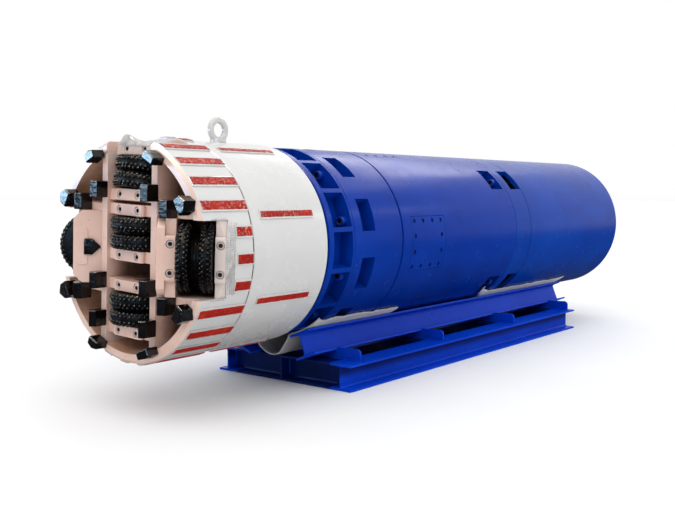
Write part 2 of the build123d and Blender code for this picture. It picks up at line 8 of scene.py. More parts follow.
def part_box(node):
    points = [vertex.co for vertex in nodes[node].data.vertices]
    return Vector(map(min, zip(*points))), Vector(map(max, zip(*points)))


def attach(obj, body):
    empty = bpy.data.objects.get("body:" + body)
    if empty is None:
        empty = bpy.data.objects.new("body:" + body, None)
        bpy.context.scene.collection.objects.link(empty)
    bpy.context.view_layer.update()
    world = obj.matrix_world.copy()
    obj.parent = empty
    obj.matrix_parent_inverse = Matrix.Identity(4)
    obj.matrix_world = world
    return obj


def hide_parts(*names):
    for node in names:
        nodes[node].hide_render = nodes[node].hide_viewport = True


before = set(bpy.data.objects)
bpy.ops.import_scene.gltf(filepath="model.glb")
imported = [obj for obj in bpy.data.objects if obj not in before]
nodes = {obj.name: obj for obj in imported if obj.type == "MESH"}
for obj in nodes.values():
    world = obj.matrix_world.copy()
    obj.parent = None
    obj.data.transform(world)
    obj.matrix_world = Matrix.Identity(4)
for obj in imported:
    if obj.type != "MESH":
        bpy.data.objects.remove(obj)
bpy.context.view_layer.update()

scene = bpy.context.scene

# Rock pipe jacking machine on its cradle.  Sizes below are in millimetres, as
# stations "s" from the front of the cutterhead rim and offsets from the axis;
# every point is turned into metres by at(), hp() or polar().
MID, AXIS_H, HEAD_TURN = 1609.8, 552.0, 2.8
c_t, s_t = math.cos(math.radians(HEAD_TURN)), math.sin(math.radians(HEAD_TURN))
X3 = Vector((1, 0, 0))
U3 = Vector((0, c_t, s_t))
V3 = Vector((0, -s_t, c_t))
MM = 0.001


def at(s, y, z):
    """Station, offset to the far side, height above the axis."""
    return Vector((s - MID, y, AXIS_H + z)) * MM


def hp(s, u, v):
    """A point in the turned head's own frame."""
    return (Vector((s - MID, 0, AXIS_H)) + U3 * u + V3 * v) * MM


def polar(s, beta, r):
    """A point at an angle up from the near side."""
    b = math.radians(beta)
    return at(s, -r * math.cos(b), r * math.sin(b))


def out_of(beta):
    b = math.radians(beta)
    return Vector((0, -math.cos(b), math.sin(b)))


def axes_of(side, lean):
    """Axle direction and outward direction of a cutter station."""
    if side == 0:
        c, s = math.cos(math.radians(lean)), math.sin(math.radians(lean))
        return V3 * c + X3 * s, X3 * -c + V3 * s
    c, s = math.cos(math.radians(50.0)), math.sin(math.radians(50.0))
    return X3 * c + U3 * (side * s), X3 * -s + U3 * (side * c)


# name, middle of the cap faces as s, u, v, side, lean of the axle, ring radius
CUTTERS = [
    ("top_cutter", 15.0, 0.0, 257.0, 0, 10.0, 106.0),
    ("centre_cutter", 2.0, 0.0, 58.5, 0, 0.0, 106.0),
    ("lower_cutter", 2.0, 0.0, -191.5, 0, 0.0, 106.0),
    ("near_gauge_cutter", 19.8, -303.7, 0.0, -1, 0.0, 114.0),
    ("far_gauge_cutter", 19.8, 303.7, 0.0, 1, 0.0, 114.0),
]
CAP_H = 62.0
# along the axle: inner faces of the saddle blocks, middles of the two rings
BLOCK_IN, BLOCK_OUT = {0: 57.0, -1: 61.0, 1: 61.0}, 93.0
RING_AT = {0: 28.5, -1: 36.0, 1: 36.0}
RING_HALF = {0: 22.0, -1: 18.0, 1: 18.0}

# ---------------------------------------------------------------- camera
cam_data = bpy.data.cameras.new("camera")
cam_data.sensor_width = 36.0
cam_data.sensor_fit = "HORIZONTAL"
cam_data.lens = 46.735
cam_data.clip_end = 300.0
camera = bpy.data.objects.new("camera", cam_data)
camera.location = (-3.3990, -2.3109, 0.7473)
camera.rotation_euler = (math.radians(90.0 - 4.198), 0.0, math.radians(38.71 - 90.0))
scene.collection.objects.link(camera)
scene.camera = camera


# ================================================================ materials
def srgb(r, g, b):
    """Eight-bit screen colour as linear RGBA."""
    def lin(c):
        c /= 255.0
        return c / 12.92 if c <= 0.04045 else ((c + 0.055) / 1.055) ** 2.4
    return (lin(r), lin(g), lin(b), 1.0)


class Tree:
    """Small helper for building one material's nodes."""

    def __init__(self, name):
        self.mat = bpy.data.materials.new(name)
        self.mat.use_nodes = True
        self.nt = self.mat.node_tree
        self.bsdf = self.nt.nodes["Principled BSDF"]
        self.obj = self.nt.nodes.new("ShaderNodeTexCoord").outputs["Object"]

    def link(self, a, b):
        self.nt.links.new(a, b)

    def noise(self, scale, detail=3.0, rough=0.55, stretch=None, kind="ShaderNodeTexNoise"):
        n = self.nt.nodes.new(kind)
        n.inputs["Scale"].default_value = scale
        if kind == "ShaderNodeTexNoise":
            n.inputs["Detail"].default_value = detail
            n.inputs["Roughness"].default_value = rough
        source = self.obj
        if stretch:
            m = self.nt.nodes.new("ShaderNodeMapping")
            m.inputs["Scale"].default_value = stretch
            self.link(self.obj, m.inputs["Vector"])
            source = m.outputs["Vector"]
        self.link(source, n.inputs["Vector"])
        return n.outputs["Fac"] if kind == "ShaderNodeTexNoise" else n.outputs["Distance"]

    def ramp(self, fac, stops):
        n = self.nt.nodes.new("ShaderNodeValToRGB")
        els = n.color_ramp.elements
        while len(els) < len(stops):
            els.new(0.5)
        for e, (pos, col) in zip(els, stops):
            e.position = pos
            e.color = col if hasattr(col, "__len__") else (col, col, col, 1.0)
        self.link(fac, n.inputs["Fac"])
        return n.outputs["Color"]

    def mix(self, fac, a, b, blend="MIX"):
        n = self.nt.nodes.new("ShaderNodeMix")
        n.data_type = "RGBA"
        n.blend_type = blend
        self.link(fac, n.inputs["Factor"])
        for value, socket in ((a, n.inputs["A"]), (b, n.inputs["B"])):
            if hasattr(value, "is_linked"):
                self.link(value, socket)
            else:
                socket.default_value = value
        return n.outputs["Result"]

    def math(self, op, a, b):
        n = self.nt.nodes.new("ShaderNodeMath")
        n.operation = op
        for value, socket in zip((a, b), n.inputs):
            if hasattr(value, "is_linked"):
                self.link(value, socket)
            else:
                socket.default_value = value
        return n.outputs["Value"]

    def bump(self, height, strength, distance, under=None):
        n = self.nt.nodes.new("ShaderNodeBump")
        n.inputs["Strength"].default_value = strength
        n.inputs["Distance"].default_value = distance
        self.link(height, n.inputs["Height"])
        if under is not None:
            self.link(under, n.inputs["Normal"])
        return n.outputs["Normal"]

    def radius(self):
        """Distance from the machine's axis, in metres."""
        sep = self.nt.nodes.new("ShaderNodeSeparateXYZ")
        self.link(self.obj, sep.inputs["Vector"])
        z = self.math("SUBTRACT", sep.outputs["Z"], AXIS_H * MM)
        yy = self.math("MULTIPLY", sep.outputs["Y"], sep.outputs["Y"])
        zz = self.math("MULTIPLY", z, z)
        return self.math("SQRT", self.math("ADD", yy, zz), 0.0)

    def xyz(self):
        sep = self.nt.nodes.new("ShaderNodeSeparateXYZ")
        self.link(self.obj, sep.inputs["Vector"])
        return sep.outputs


def paint(name, tones, rough, peel=(330.0, 0.10), blotch=2.2, coat=0.0, specks=None, grime=None, streak=None,
          shine=0.4, deep=None, low=None):
    """Sprayed paint: blotchy tone, orange peel, specks and grime."""
    t = Tree(name)
    big = t.noise(blotch, 5.0, 0.6)
    colour = t.ramp(big, [(0.28, tones[0]), (0.52, tones[1]), (0.78, tones[2])])
    if streak:
        drag = t.noise(7.0, 6.0, 0.65, stretch=streak[0])
        colour = t.mix(t.ramp(drag, [(0.50, 0.0), (0.80, streak[2])]), colour, streak[1])
    if grime:
        mud = t.noise(grime[0], 8.0, 0.68)
        colour = t.mix(t.ramp(mud, [(grime[2], 0.0), (grime[3], grime[4])]), colour, grime[1])
    if specks:
        dots = t.noise(specks[0], 2.0, 0.5)
        colour = t.mix(t.ramp(dots, [(specks[2], 0.0), (specks[2] + 0.03, 0.85)]), colour, specks[1])
    if deep:
        # painted shade in muck tones that thickens with depth behind the head's face
        depth = t.nt.nodes.new("ShaderNodeMapRange")
        depth.inputs["From Min"].default_value = (deep[0] - MID) * MM
        depth.inputs["From Max"].default_value = (deep[1] - MID) * MM
        depth.inputs["To Max"].default_value = deep[2]
        t.link(t.math("ADD", t.xyz()["X"], t.math("MULTIPLY", t.math("SUBTRACT", t.noise(14.0, 6.0, 0.65), 0.5), 0.05)),
               depth.inputs["Value"])
        inner = t.nt.nodes.new("ShaderNodeMapRange")
        inner.inputs["From Min"].default_value = 0.345
        inner.inputs["From Max"].default_value = 0.305
        t.link(t.radius(), inner.inputs["Value"])
        muck_and_shade = t.ramp(t.noise(20.0, 7.0, 0.7), [(0.3, srgb(88, 68, 61)), (0.55, srgb(128, 100, 88)), (0.78, srgb(164, 132, 116))])
        colour = t.mix(t.math("MULTIPLY", depth.outputs["Result"], inner.outputs["Result"]), colour, muck_and_shade)
        # whiter finish coat on what stands near the drum's skin
        outer = t.nt.nodes.new("ShaderNodeMapRange")
        outer.inputs["From Min"].default_value = 0.300
        outer.inputs["From Max"].default_value = 0.352
        outer.inputs["To Max"].default_value = 0.75
        t.link(t.radius(), outer.inputs["Value"])
        colour = t.mix(outer.outputs["Result"], colour, srgb(214, 206, 202))
    if low:
        # darker towards the bottom: painted shade, with dust on the white paint: heights, amount, colour
        down = t.nt.nodes.new("ShaderNodeMapRange")
        down.interpolation_type = "SMOOTHSTEP"
        down.inputs["From Min"].default_value = low[0]
        down.inputs["From Max"].default_value = low[1]
        down.inputs["To Max"].default_value = low[2]
        t.link(t.math("ADD", t.xyz()["Z"], t.math("MULTIPLY", t.math("SUBTRACT", t.noise(8.0, 6.0, 0.65), 0.5), 0.12)),
               down.inputs["Value"])
        colour = t.mix(down.outputs["Result"], colour, low[3])
    t.link(colour, t.bsdf.inputs["Base Color"])
    worn = t.noise(blotch * 6.0, 5.0, 0.6)
    t.link(t.ramp(worn, [(0.3, rough[0]), (0.75, rough[1])]), t.bsdf.inputs["Roughness"])
    wave = t.bump(t.noise(18.0, 2.0, 0.5), 0.10, 0.0012)
    t.link(t.bump(t.noise(peel[0], 2.0, 0.5), peel[1], 0.0006, wave), t.bsdf.inputs["Normal"])
    t.bsdf.inputs["Coat Weight"].default_value = coat
    t.bsdf.inputs["Coat Roughness"].default_value = 0.12
    t.bsdf.inputs["Specular IOR Level"].default_value = shine
    return t


PINK = (srgb(216, 180, 165), srgb(224, 190, 176), srgb(232, 203, 191))
WHITE = (srgb(206, 205, 203), srgb(213, 212, 210), srgb(220, 219, 217))
# grey mixed in towards the bottom of the white paint: painted shade, with some dust
DUST_AND_SHADE = (0.46, 0.22, 0.55, srgb(150, 148, 149))
BLUE = (srgb(0, 43, 137), srgb(0, 51, 152), srgb(1, 59, 165))
CRADLE = (srgb(0, 54, 180), srgb(0, 62, 196), srgb(4, 72, 210))

# the face paint darkens into the slots and pockets behind the face: painted shade
face_paint = paint("face_paint", PINK, (0.34, 0.5), specks=(150.0, srgb(120, 96, 86), 0.74), shine=0.16,
                   grime=(9.0, srgb(176, 140, 124), 0.54, 0.78, 0.55), deep=(24.0, 95.0, 0.94)).mat
shield_paint = paint("shield_paint", WHITE, (0.2, 0.32), coat=0.15, specks=(95.0, srgb(150, 132, 118), 0.755),
                     grime=(5.0, srgb(190, 186, 180), 0.60, 0.82, 0.5), low=DUST_AND_SHADE).mat
weld_paint = paint("weld_paint", (srgb(168, 164, 162), srgb(192, 189, 187), srgb(212, 210, 208)), (0.2, 0.36), coat=0.1,
                   grime=(26.0, srgb(112, 103, 98), 0.5, 0.74, 0.75)).mat
# the can's blue goes navy towards the bottom: painted shade
blue_paint = paint("blue_paint", BLUE, (0.2, 0.3), peel=(240.0, 0.14), shine=0.1,
                   streak=((0.35, 2.2, 2.2), srgb(4, 60, 170), 0.4), low=(0.48, 0.26, 0.6, srgb(0, 22, 84))).mat
# towards the bottom the tail blue goes darker and greener: painted shade with painted floor bounce
tail_blue = paint("tail_blue", (srgb(0, 48, 139), srgb(0, 57, 154), srgb(1, 66, 167)), (0.2, 0.3), peel=(240.0, 0.14),
                  shine=0.1, streak=((0.35, 2.2, 2.2), srgb(5, 72, 172), 0.5),
                  low=(0.44, 0.24, 0.5, srgb(10, 44, 98))).mat
cradle_blue = paint("cradle_blue", CRADLE, (0.26, 0.42), peel=(210.0, 0.16), shine=0.08,
                    grime=(6.0, srgb(4, 32, 120), 0.56, 0.8, 0.5),
                    streak=((0.25, 2.0, 2.0), srgb(10, 78, 206), 0.3)).mat


def beam_paint():
    """Cradle blue, with painted shade on the webs under the top flanges of the floor beams."""
    t = paint("beam_blue", CRADLE, (0.26, 0.42), peel=(210.0, 0.16), shine=0.08,
              grime=(6.0, srgb(4, 32, 120), 0.56, 0.8, 0.5), streak=((0.25, 2.0, 2.0), srgb(10, 78, 206), 0.3))
    colour = t.bsdf.inputs["Base Color"].links[0].from_socket
    # painted shade: navy on the webs below the top flanges, the flanges' top faces left out
    z = t.math("ADD", t.xyz()["Z"], t.math("MULTIPLY", t.math("SUBTRACT", t.noise(9.0, 5.0, 0.6), 0.5), 0.02))
    shade = t.nt.nodes.new("ShaderNodeMapRange")
    shade.interpolation_type = "SMOOTHSTEP"
    shade.inputs["From Min"].default_value = 0.038
    shade.inputs["From Max"].default_value = 0.072
    shade.inputs["To Max"].default_value = 0.8
    t.link(z, shade.inputs["Value"])
    lit = t.nt.nodes.new("ShaderNodeMapRange")
    lit.inputs["From Min"].default_value = 0.0925
    lit.inputs["From Max"].default_value = 0.0905
    t.link(t.xyz()["Z"], lit.inputs["Value"])
    t.link(t.mix(t.math("MULTIPLY", shade.outputs["Result"], lit.outputs["Result"]), colour, srgb(0, 16, 72)),
           t.bsdf.inputs["Base Color"])
    return t.mat


beam_blue = beam_paint()

# darker copy of the cradle blue for the cross beams and stiffeners: painted shade
cross_blue_shaded = paint("cross_blue_shaded", (srgb(0, 20, 80), srgb(0, 27, 98), srgb(2, 36, 122)), (0.3, 0.46), peel=(210.0, 0.16),
                   shine=0.08, grime=(6.0, srgb(6, 18, 60), 0.5, 0.78, 0.6)).mat


def head_skin_paint():
    """White outside, pinkish primer-tinted paint on the rim face, muddy inside."""
    t = paint("head_skin_paint", WHITE, (0.26, 0.4), coat=0.1, specks=(95.0, srgb(150, 132, 118), 0.75),
              grime=(7.0, srgb(190, 184, 178), 0.58, 0.8, 0.5), low=DUST_AND_SHADE)
    colour = t.bsdf.inputs["Base Color"].links[0].from_socket
    r = t.radius()
    tone = t.ramp(t.noise(6.0, 4.0, 0.6), [(0.3, PINK[0]), (0.7, PINK[2])])
    mud = t.ramp(t.noise(16.0, 7.0, 0.7), [(0.3, srgb(176, 132, 106)), (0.7, srgb(224, 186, 160))])
    inside = t.nt.nodes.new("ShaderNodeMapRange")
    inside.inputs["From Min"].default_value = 0.3383
    inside.inputs["From Max"].default_value = 0.3391
    t.link(r, inside.inputs["Value"])
    outside = t.nt.nodes.new("ShaderNodeMapRange")
    outside.inputs["From Min"].default_value = 0.3685
    outside.inputs["From Max"].default_value = 0.3695
    t.link(r, outside.inputs["Value"])
    t.link(t.mix(outside.outputs["Result"], t.mix(inside.outputs["Result"], mud, tone), colour),
           t.bsdf.inputs["Base Color"])
    return t.mat


def muddy(name, tones, rough=(0.6, 0.85)):
    t = Tree(name)
    colour = t.ramp(t.noise(11.0, 8.0, 0.68), [(0.3, tones[0]), (0.55, tones[1]), (0.75, tones[2])])
    t.link(colour, t.bsdf.inputs["Base Color"])
    t.link(t.ramp(t.noise(30.0, 4.0, 0.6), [(0.3, rough[0]), (0.7, rough[1])]), t.bsdf.inputs["Roughness"])
    t.link(t.bump(t.noise(140.0, 6.0, 0.7), 0.35, 0.0015), t.bsdf.inputs["Normal"])
    return t.mat


def black_gloss(name, chips, rough, bits, shine, coat):
    """Thick black gloss paint with dust and worn spots."""
    t = Tree(name)
    colour = t.ramp(t.noise(26.0, 5.0, 0.6), [(0.3, srgb(6, 5, 6)), (0.6, srgb(11, 9, 10)), (0.8, srgb(22, 17, 16))])
    worn = t.noise(bits, 6.0, 0.7)
    colour = t.mix(t.ramp(worn, [(chips[1], 0.0), (chips[1] + 0.07, chips[2])]), colour, chips[0])
    t.link(colour, t.bsdf.inputs["Base Color"])
    t.link(t.ramp(t.noise(40.0, 4.0, 0.6), [(0.3, rough[0]), (0.72, rough[1])]), t.bsdf.inputs["Roughness"])
    dent = t.bump(t.noise(75.0, 3.0, 0.6), 0.6, 0.0022)
    t.link(t.bump(t.noise(420.0, 3.0, 0.6), 0.2, 0.0005, dent), t.bsdf.inputs["Normal"])
    t.bsdf.inputs["Coat Weight"].default_value = coat
    t.bsdf.inputs["Coat Roughness"].default_value = 0.08
    t.bsdf.inputs["Specular IOR Level"].default_value = shine
    return t.mat


def steel(name, tones, rough=(0.3, 0.5), metallic=1.0):
    t = Tree(name)
    t.link(t.ramp(t.noise(34.0, 6.0, 0.65), [(0.3, tones[0]), (0.7, tones[1])]), t.bsdf.inputs["Base Color"])
    t.link(t.ramp(t.noise(60.0, 5.0, 0.6), [(0.3, rough[0]), (0.7, rough[1])]), t.bsdf.inputs["Roughness"])
    t.link(t.bump(t.noise(500.0, 3.0, 0.6), 0.15, 0.0004), t.bsdf.inputs["Normal"])
    t.bsdf.inputs["Metallic"].default_value = metallic
    return t.mat


def hardfacing():
    """Fused carbide grit under red paint, the grit's tips rubbed pale, and more pale tips towards the top as painted
    glints.
    """
    t = Tree("hardfacing")
    tone = t.ramp(t.noise(30.0, 5.0, 0.6), [(0.3, srgb(150, 14, 8)), (0.55, srgb(180, 30, 14)), (0.8, srgb(208, 66, 30))])
    grit = t.noise(330.0, 3.0, 0.6)
    tone = t.mix(t.ramp(grit, [(0.36, 0.6), (0.5, 0.0)]), tone, srgb(96, 8, 5))
    pale = t.noise(105.0, 5.0, 0.72)
    # pale tips gather towards the top: painted highlight standing for glints, over rubbed wear
    top_glint = t.nt.nodes.new("ShaderNodeMapRange")
    top_glint.inputs["From Min"].default_value = 0.50
    top_glint.inputs["From Max"].default_value = 0.76
    top_glint.inputs["To Min"].default_value = 0.05
    t.link(t.xyz()["Z"], top_glint.inputs["Value"])
    area = t.math("MULTIPLY", t.ramp(t.noise(6.0, 3.0, 0.5), [(0.40, 0.25), (0.66, 1.0)]), top_glint.outputs["Result"])
    pale_tips_and_glints = t.math("MULTIPLY", t.ramp(pale, [(0.52, 0.0), (0.60, 1.0)]), area)
    tone = t.mix(pale_tips_and_glints, tone, srgb(244, 214, 196))
    t.bsdf.inputs["Specular IOR Level"].default_value = 0.15
    t.link(tone, t.bsdf.inputs["Base Color"])
    t.link(t.ramp(grit, [(0.3, 0.55), (0.7, 0.28)]), t.bsdf.inputs["Roughness"])
    cells = t.noise(420.0, kind="ShaderNodeTexVoronoi")
    t.link(t.bump(t.noise(260.0, 4.0, 0.7), 0.6, 0.0014, t.bump(cells, 0.5, 0.0012)), t.bsdf.inputs["Normal"])
    return t.mat


def felt():
    """Grey-white padding mat: soft fibres, dust and stains."""
    t = Tree("padding_mat")
    tone = t.ramp(t.noise(5.0, 5.0, 0.6), [(0.3, srgb(176, 174, 170)), (0.55, srgb(198, 196, 192)), (0.8, srgb(216, 214, 211))])
    fibre = t.noise(420.0, 4.0, 0.7, stretch=(0.5, 1.0, 1.0))
    tone = t.mix(t.ramp(fibre, [(0.3, 0.35), (0.6, 0.0)]), tone, srgb(150, 147, 143))
    stain = t.noise(13.0, 7.0, 0.7)
    tone = t.mix(t.ramp(stain, [(0.6, 0.0), (0.8, 0.5)]), tone, srgb(140, 128, 116))
    t.link(tone, t.bsdf.inputs["Base Color"])
    t.link(t.ramp(fibre, [(0.3, 0.95), (0.7, 0.8)]), t.bsdf.inputs["Roughness"])
    t.link(t.bump(fibre, 0.35, 0.0008, t.bump(t.noise(55.0, 4.0, 0.6), 0.3, 0.0015)), t.bsdf.inputs["Normal"])
    t.bsdf.inputs["Sheen Weight"].default_value = 0.25
    return t.mat


# matte dark material: real rubber for seals and glands, painted shade for screw sockets
def rubber_and_shade(name, a, b):
    t = Tree(name)
    t.link(t.ramp(t.noise(40.0, 4.0, 0.6), [(0.3, a), (0.7, b)]), t.bsdf.inputs["Base Color"])
    t.link(t.ramp(t.noise(90.0, 3.0, 0.6), [(0.3, 0.5), (0.7, 0.75)]), t.bsdf.inputs["Roughness"])
    t.link(t.bump(t.noise(600.0, 3.0, 0.6), 0.25, 0.0004), t.bsdf.inputs["Normal"])
    return t.mat


head_skin = head_skin_paint()
mud_plate = muddy("mud_plate", (srgb(176, 136, 116), srgb(204, 166, 146), srgb(226, 194, 176)))
cutter_black = black_gloss("cutter_black", (srgb(84, 62, 44), 0.68, 0.5), (0.3, 0.5), 70.0, 0.12, 0.0)
button_steel = black_gloss("button_steel", (srgb(150, 112, 66), 0.60, 0.8), (0.10, 0.22), 120.0, 0.35, 0.0)
pick_black = black_gloss("pick_black", (srgb(76, 52, 44), 0.69, 0.5), (0.10, 0.22), 55.0, 0.45, 0.1)
axle_steel = steel("axle_steel", (srgb(104, 102, 100), srgb(150, 148, 146)))
# dark hex sockets of the pale screws (painted shade in the recesses) and the lid's gasket line
socket_shade_and_gasket = rubber_and_shade("socket_shade_and_gasket", srgb(26, 22, 22), srgb(48, 40, 38))
seal_rubber = rubber_and_shade("seal_rubber", srgb(22, 22, 24), srgb(34, 34, 36))
gland_black = rubber_and_shade("gland_black", srgb(20, 20, 22), srgb(40, 40, 42))
machine_grey = paint("machine_grey", (srgb(136, 140, 143), srgb(148, 152, 155), srgb(160, 163, 166)), (0.35, 0.5),
                     grime=(8.0, srgb(100, 98, 96), 0.56, 0.8, 0.5)).mat
screw_pale = paint("screw_pale", (srgb(186, 170, 162), srgb(206, 190, 182), srgb(222, 208, 200)), (0.34, 0.5),
                   grime=(60.0, srgb(120, 104, 96), 0.5, 0.75, 0.6)).mat
bolt_blue = paint("bolt_blue", BLUE, (0.2, 0.34), peel=(500.0, 0.1), blotch=9.0, coat=0.3).mat
# navy hex sockets of the blue bolts: painted shade in the recesses
socket_navy_shade = rubber_and_shade("socket_navy_shade", srgb(2, 6, 30), srgb(4, 12, 48))
padding_mat = felt()
grit_red = hardfacing()

NODE_LOOK = {
    "head_shell": head_skin, "head_back_plate": mud_plate, "main_shaft": axle_steel,
    "head_ribs": face_paint, "head_arms": face_paint, "gauge_walls": face_paint,
    "cutter_seats": face_paint, "cutter_caps": face_paint, "cutter_axles": axle_steel,
    "face_picks": pick_black, "rim_picks": pick_black, "head_bars": shield_paint,
    "head_bar_facings": grit_red, "shield_shell": shield_paint, "front_bulkhead": mud_plate,
    "main_drive": machine_grey, "shield_bars": shield_paint, "shield_bar_facings": grit_red,
    "lifting_eye": shield_paint, "steering_ring": seal_rubber, "flange_ring": blue_paint,
    "front_can": blue_paint, "main_can": blue_paint, "inspection_covers": blue_paint,
    "tail_can": tail_blue, "rear_bulkhead": blue_paint, "slurry_feed_pipe": blue_paint,
    "slurry_return_pipe": blue_paint, "junction_box": machine_grey, "cable_glands": gland_black,
    "power_unit": machine_grey, "base_beam_near": beam_blue, "base_beam_far": beam_blue,
    "cross_beams": cross_blue_shaded, "saddle_beam_near": cradle_blue, "saddle_beam_far": cradle_blue,
    "saddle_gussets": cradle_blue, "beam_stiffeners": cross_blue_shaded,
    "front_liner": padding_mat, "rear_liner": padding_mat,
}
for cutter in CUTTERS:
    NODE_LOOK[cutter[0]] = cutter_black
for name, ob in nodes.items():
    ob.data.materials.clear()
    ob.data.materials.append(NODE_LOOK[name])


# ================================================================ mesh helpers
def finish_mesh(name, bm, mats, angle=38.0):
    bmesh.ops.recalc_face_normals(bm, faces=bm.faces)
    me = bpy.data.meshes.new(name)
    bm.to_mesh(me)
    bm.free()
    for m in mats:
        me.materials.append(m)
    for p in me.polygons:
        p.use_smooth = True
    me.set_sharp_from_angle(angle=math.radians(angle))
    ob = bpy.data.objects.new(name, me)
    scene.collection.objects.link(ob)
    return ob


def skin(bm, loops, cap0=True, cap1=True, close=False, mats=None):
    """Quads between closed loops of points; mats gives one index per band."""
    rows = [[bm.verts.new(p) for p in loop] for loop in loops]
    n = len(rows[0])
    pairs = list(zip(rows, rows[1:])) + ([(rows[-1], rows[0])] if close else [])
    mats = mats or [0] * len(pairs)
    for (a, b), m in zip(pairs, mats):
        for i in range(n):
            j = (i + 1) % n
            bm.faces.new((a[i], a[j], b[j], b[i])).material_index = m
    if cap0:
        bm.faces.new(list(reversed(rows[0]))).material_index = mats[0]
    if cap1:
        bm.faces.new(rows[-1]).material_index = mats[-1]


def cross_frame(out):
    side = out.orthogonal().normalized()
    return side, out.cross(side).normalized()


def circle(c, a, b, r, n, turn=0.0):
    return [c + (a * math.cos(turn + 2 * math.pi * i / n) + b * math.sin(turn + 2 * math.pi * i / n)) * r for i in range(n)]


def hexagon(c, a, b, r, n, turn=0.0):
    """n points on a hexagon of corner radius r; n is a multiple of 6."""
    pts = []
    for i in range(n):
        t = 2 * math.pi * i / n
        k = r * math.cos(math.pi / 6) / math.cos((t % (math.pi / 3)) - math.pi / 6)
        pts.append(c + (a * math.cos(turn + t) + b * math.sin(turn + t)) * k)
    return pts


def socket_screw(bm, seat, out, r, h, key, deep, turn=0.0, n=24):
    """Socket-head cap screw: seat is the middle of the head's underside."""
    out = out.normalized()
    a, b = cross_frame(out)
    r, h, key, deep = r * MM, h * MM, key * MM, deep * MM
    loops = [
        circle(seat, a, b, r, n, turn), circle(seat + out * (h - 0.10 * r), a, b, r, n, turn),
        circle(seat + out * (h - 0.03 * r), a, b, 0.96 * r, n, turn), circle(seat + out * h, a, b, 0.88 * r, n, turn),
        circle(seat + out * h, a, b, key * 1.14, n, turn), hexagon(seat + out * (h - 0.12 * deep), a, b, key, n, turn),
        hexagon(seat + out * (h - deep), a, b, key, n, turn),
    ]
    # the hex socket's bands take the second slot: dark painted shade in the recess
    skin(bm, loops, mats=[0, 0, 0, 0, 1, 1])


def button_screw(bm, seat, out, r, h, key, turn=0.0, n=18):
    """Low domed cover bolt with a hex socket."""
    out = out.normalized()
    a, b = cross_frame(out)
    r, h, key = r * MM, h * MM, key * MM
    loops = [
        circle(seat - out * 0.6 * MM, a, b, r, n, turn), circle(seat + out * 0.25 * h, a, b, r, n, turn),
        circle(seat + out * 0.75 * h, a, b, 0.86 * r, n, turn), circle(seat + out * h, a, b, 0.66 * r, n, turn),
        hexagon(seat + out * h * 0.97, a, b, key, n, turn), hexagon(seat + out * h * 0.2, a, b, key * 0.97, n, turn),
    ]
    # the hex socket's bands take the second slot: dark painted shade in the recess
    skin(bm, loops, mats=[0, 0, 0, 1, 1])


def bead(bm, points, r, seed=0.0, lump=0.25, pitch=3.4, flat=1.0, up=None):
    """Rippled weld bead along a polyline of points in metres, r in mm."""
    step = pitch / 3.0 * MM
    path = []
    for p, q in zip(points, points[1:]):
        n = max(1, int((q - p).length / step))
        path += [p.lerp(q, i / n) for i in range(n)]
    path.append(points[-1])
    loops = []
    for i, p in enumerate(path):
        d = (path[min(i + 1, len(path) - 1)] - path[max(i - 1, 0)]).normalized()
        a = (up - d * up.dot(d)).normalized() if up is not None else d.orthogonal().normalized()
        b = d.cross(a)
        wobble = noise.noise(Vector((i * 0.11, seed, 3.7)))
        k = (0.90 + 0.14 * math.sin(i * 2 * math.pi / 3.0) + lump * wobble)
        ends = min(i, len(path) - 1 - i)
        k *= min(1.0, 0.45 + 0.2 * ends)
        rr = r * MM * k
        mid = p + a * (lump * 0.5 * r * MM * noise.noise(Vector((i * 0.17, seed, 9.1))))
        loops.append([mid + a * (rr * flat * math.cos(t)) + b * (rr * math.sin(t))
                      for t in (2 * math.pi * j / 8 for j in range(8))])
    skin(bm, loops)


def bevel_edges(ob, width, angle=40.0, segments=2):
    """Rounds a CAD node's sharp edges without touching its own mesh."""
    weld = ob.modifiers.new("weld", "WELD")
    weld.merge_threshold = 0.00002
    bev = ob.modifiers.new("bevel", "BEVEL")
    bev.limit_method = "ANGLE"
    bev.angle_limit = math.radians(angle)
    bev.width = width
    bev.segments = segments
    bev.use_clamp_overlap = True
    bev.harden_normals = True


# ================================================================ roller cutters
def cutter_profile(r, mid, wide, end):
    """Section of a twin-ring cutter: depth below the tip, offset as a share of the ring's half width."""
    ring = [(15.0, 1.0), (11.0, 0.86), (7.8, 0.67), (6.4, 0.46), (6.0, 0.0), (6.4, -0.46), (7.8, -0.67), (11.0, -0.86),
            (15.0, -1.0)]
    gap = mid - wide
    half = [(24.2, end), (r - 40, end), (r - 37.5, end - 0.4)] + [(r - d, mid + a * wide) for d, a in ring]
    half += [(r - 38, 0.85 * gap), (r - 43, 0.65 * gap), (r - 44, 0.4 * gap), (r - 42.4, 0.25 * gap), (r - 41.6, 0.08 * gap)]
    return half + [(q, -a) for q, a in reversed(half)]


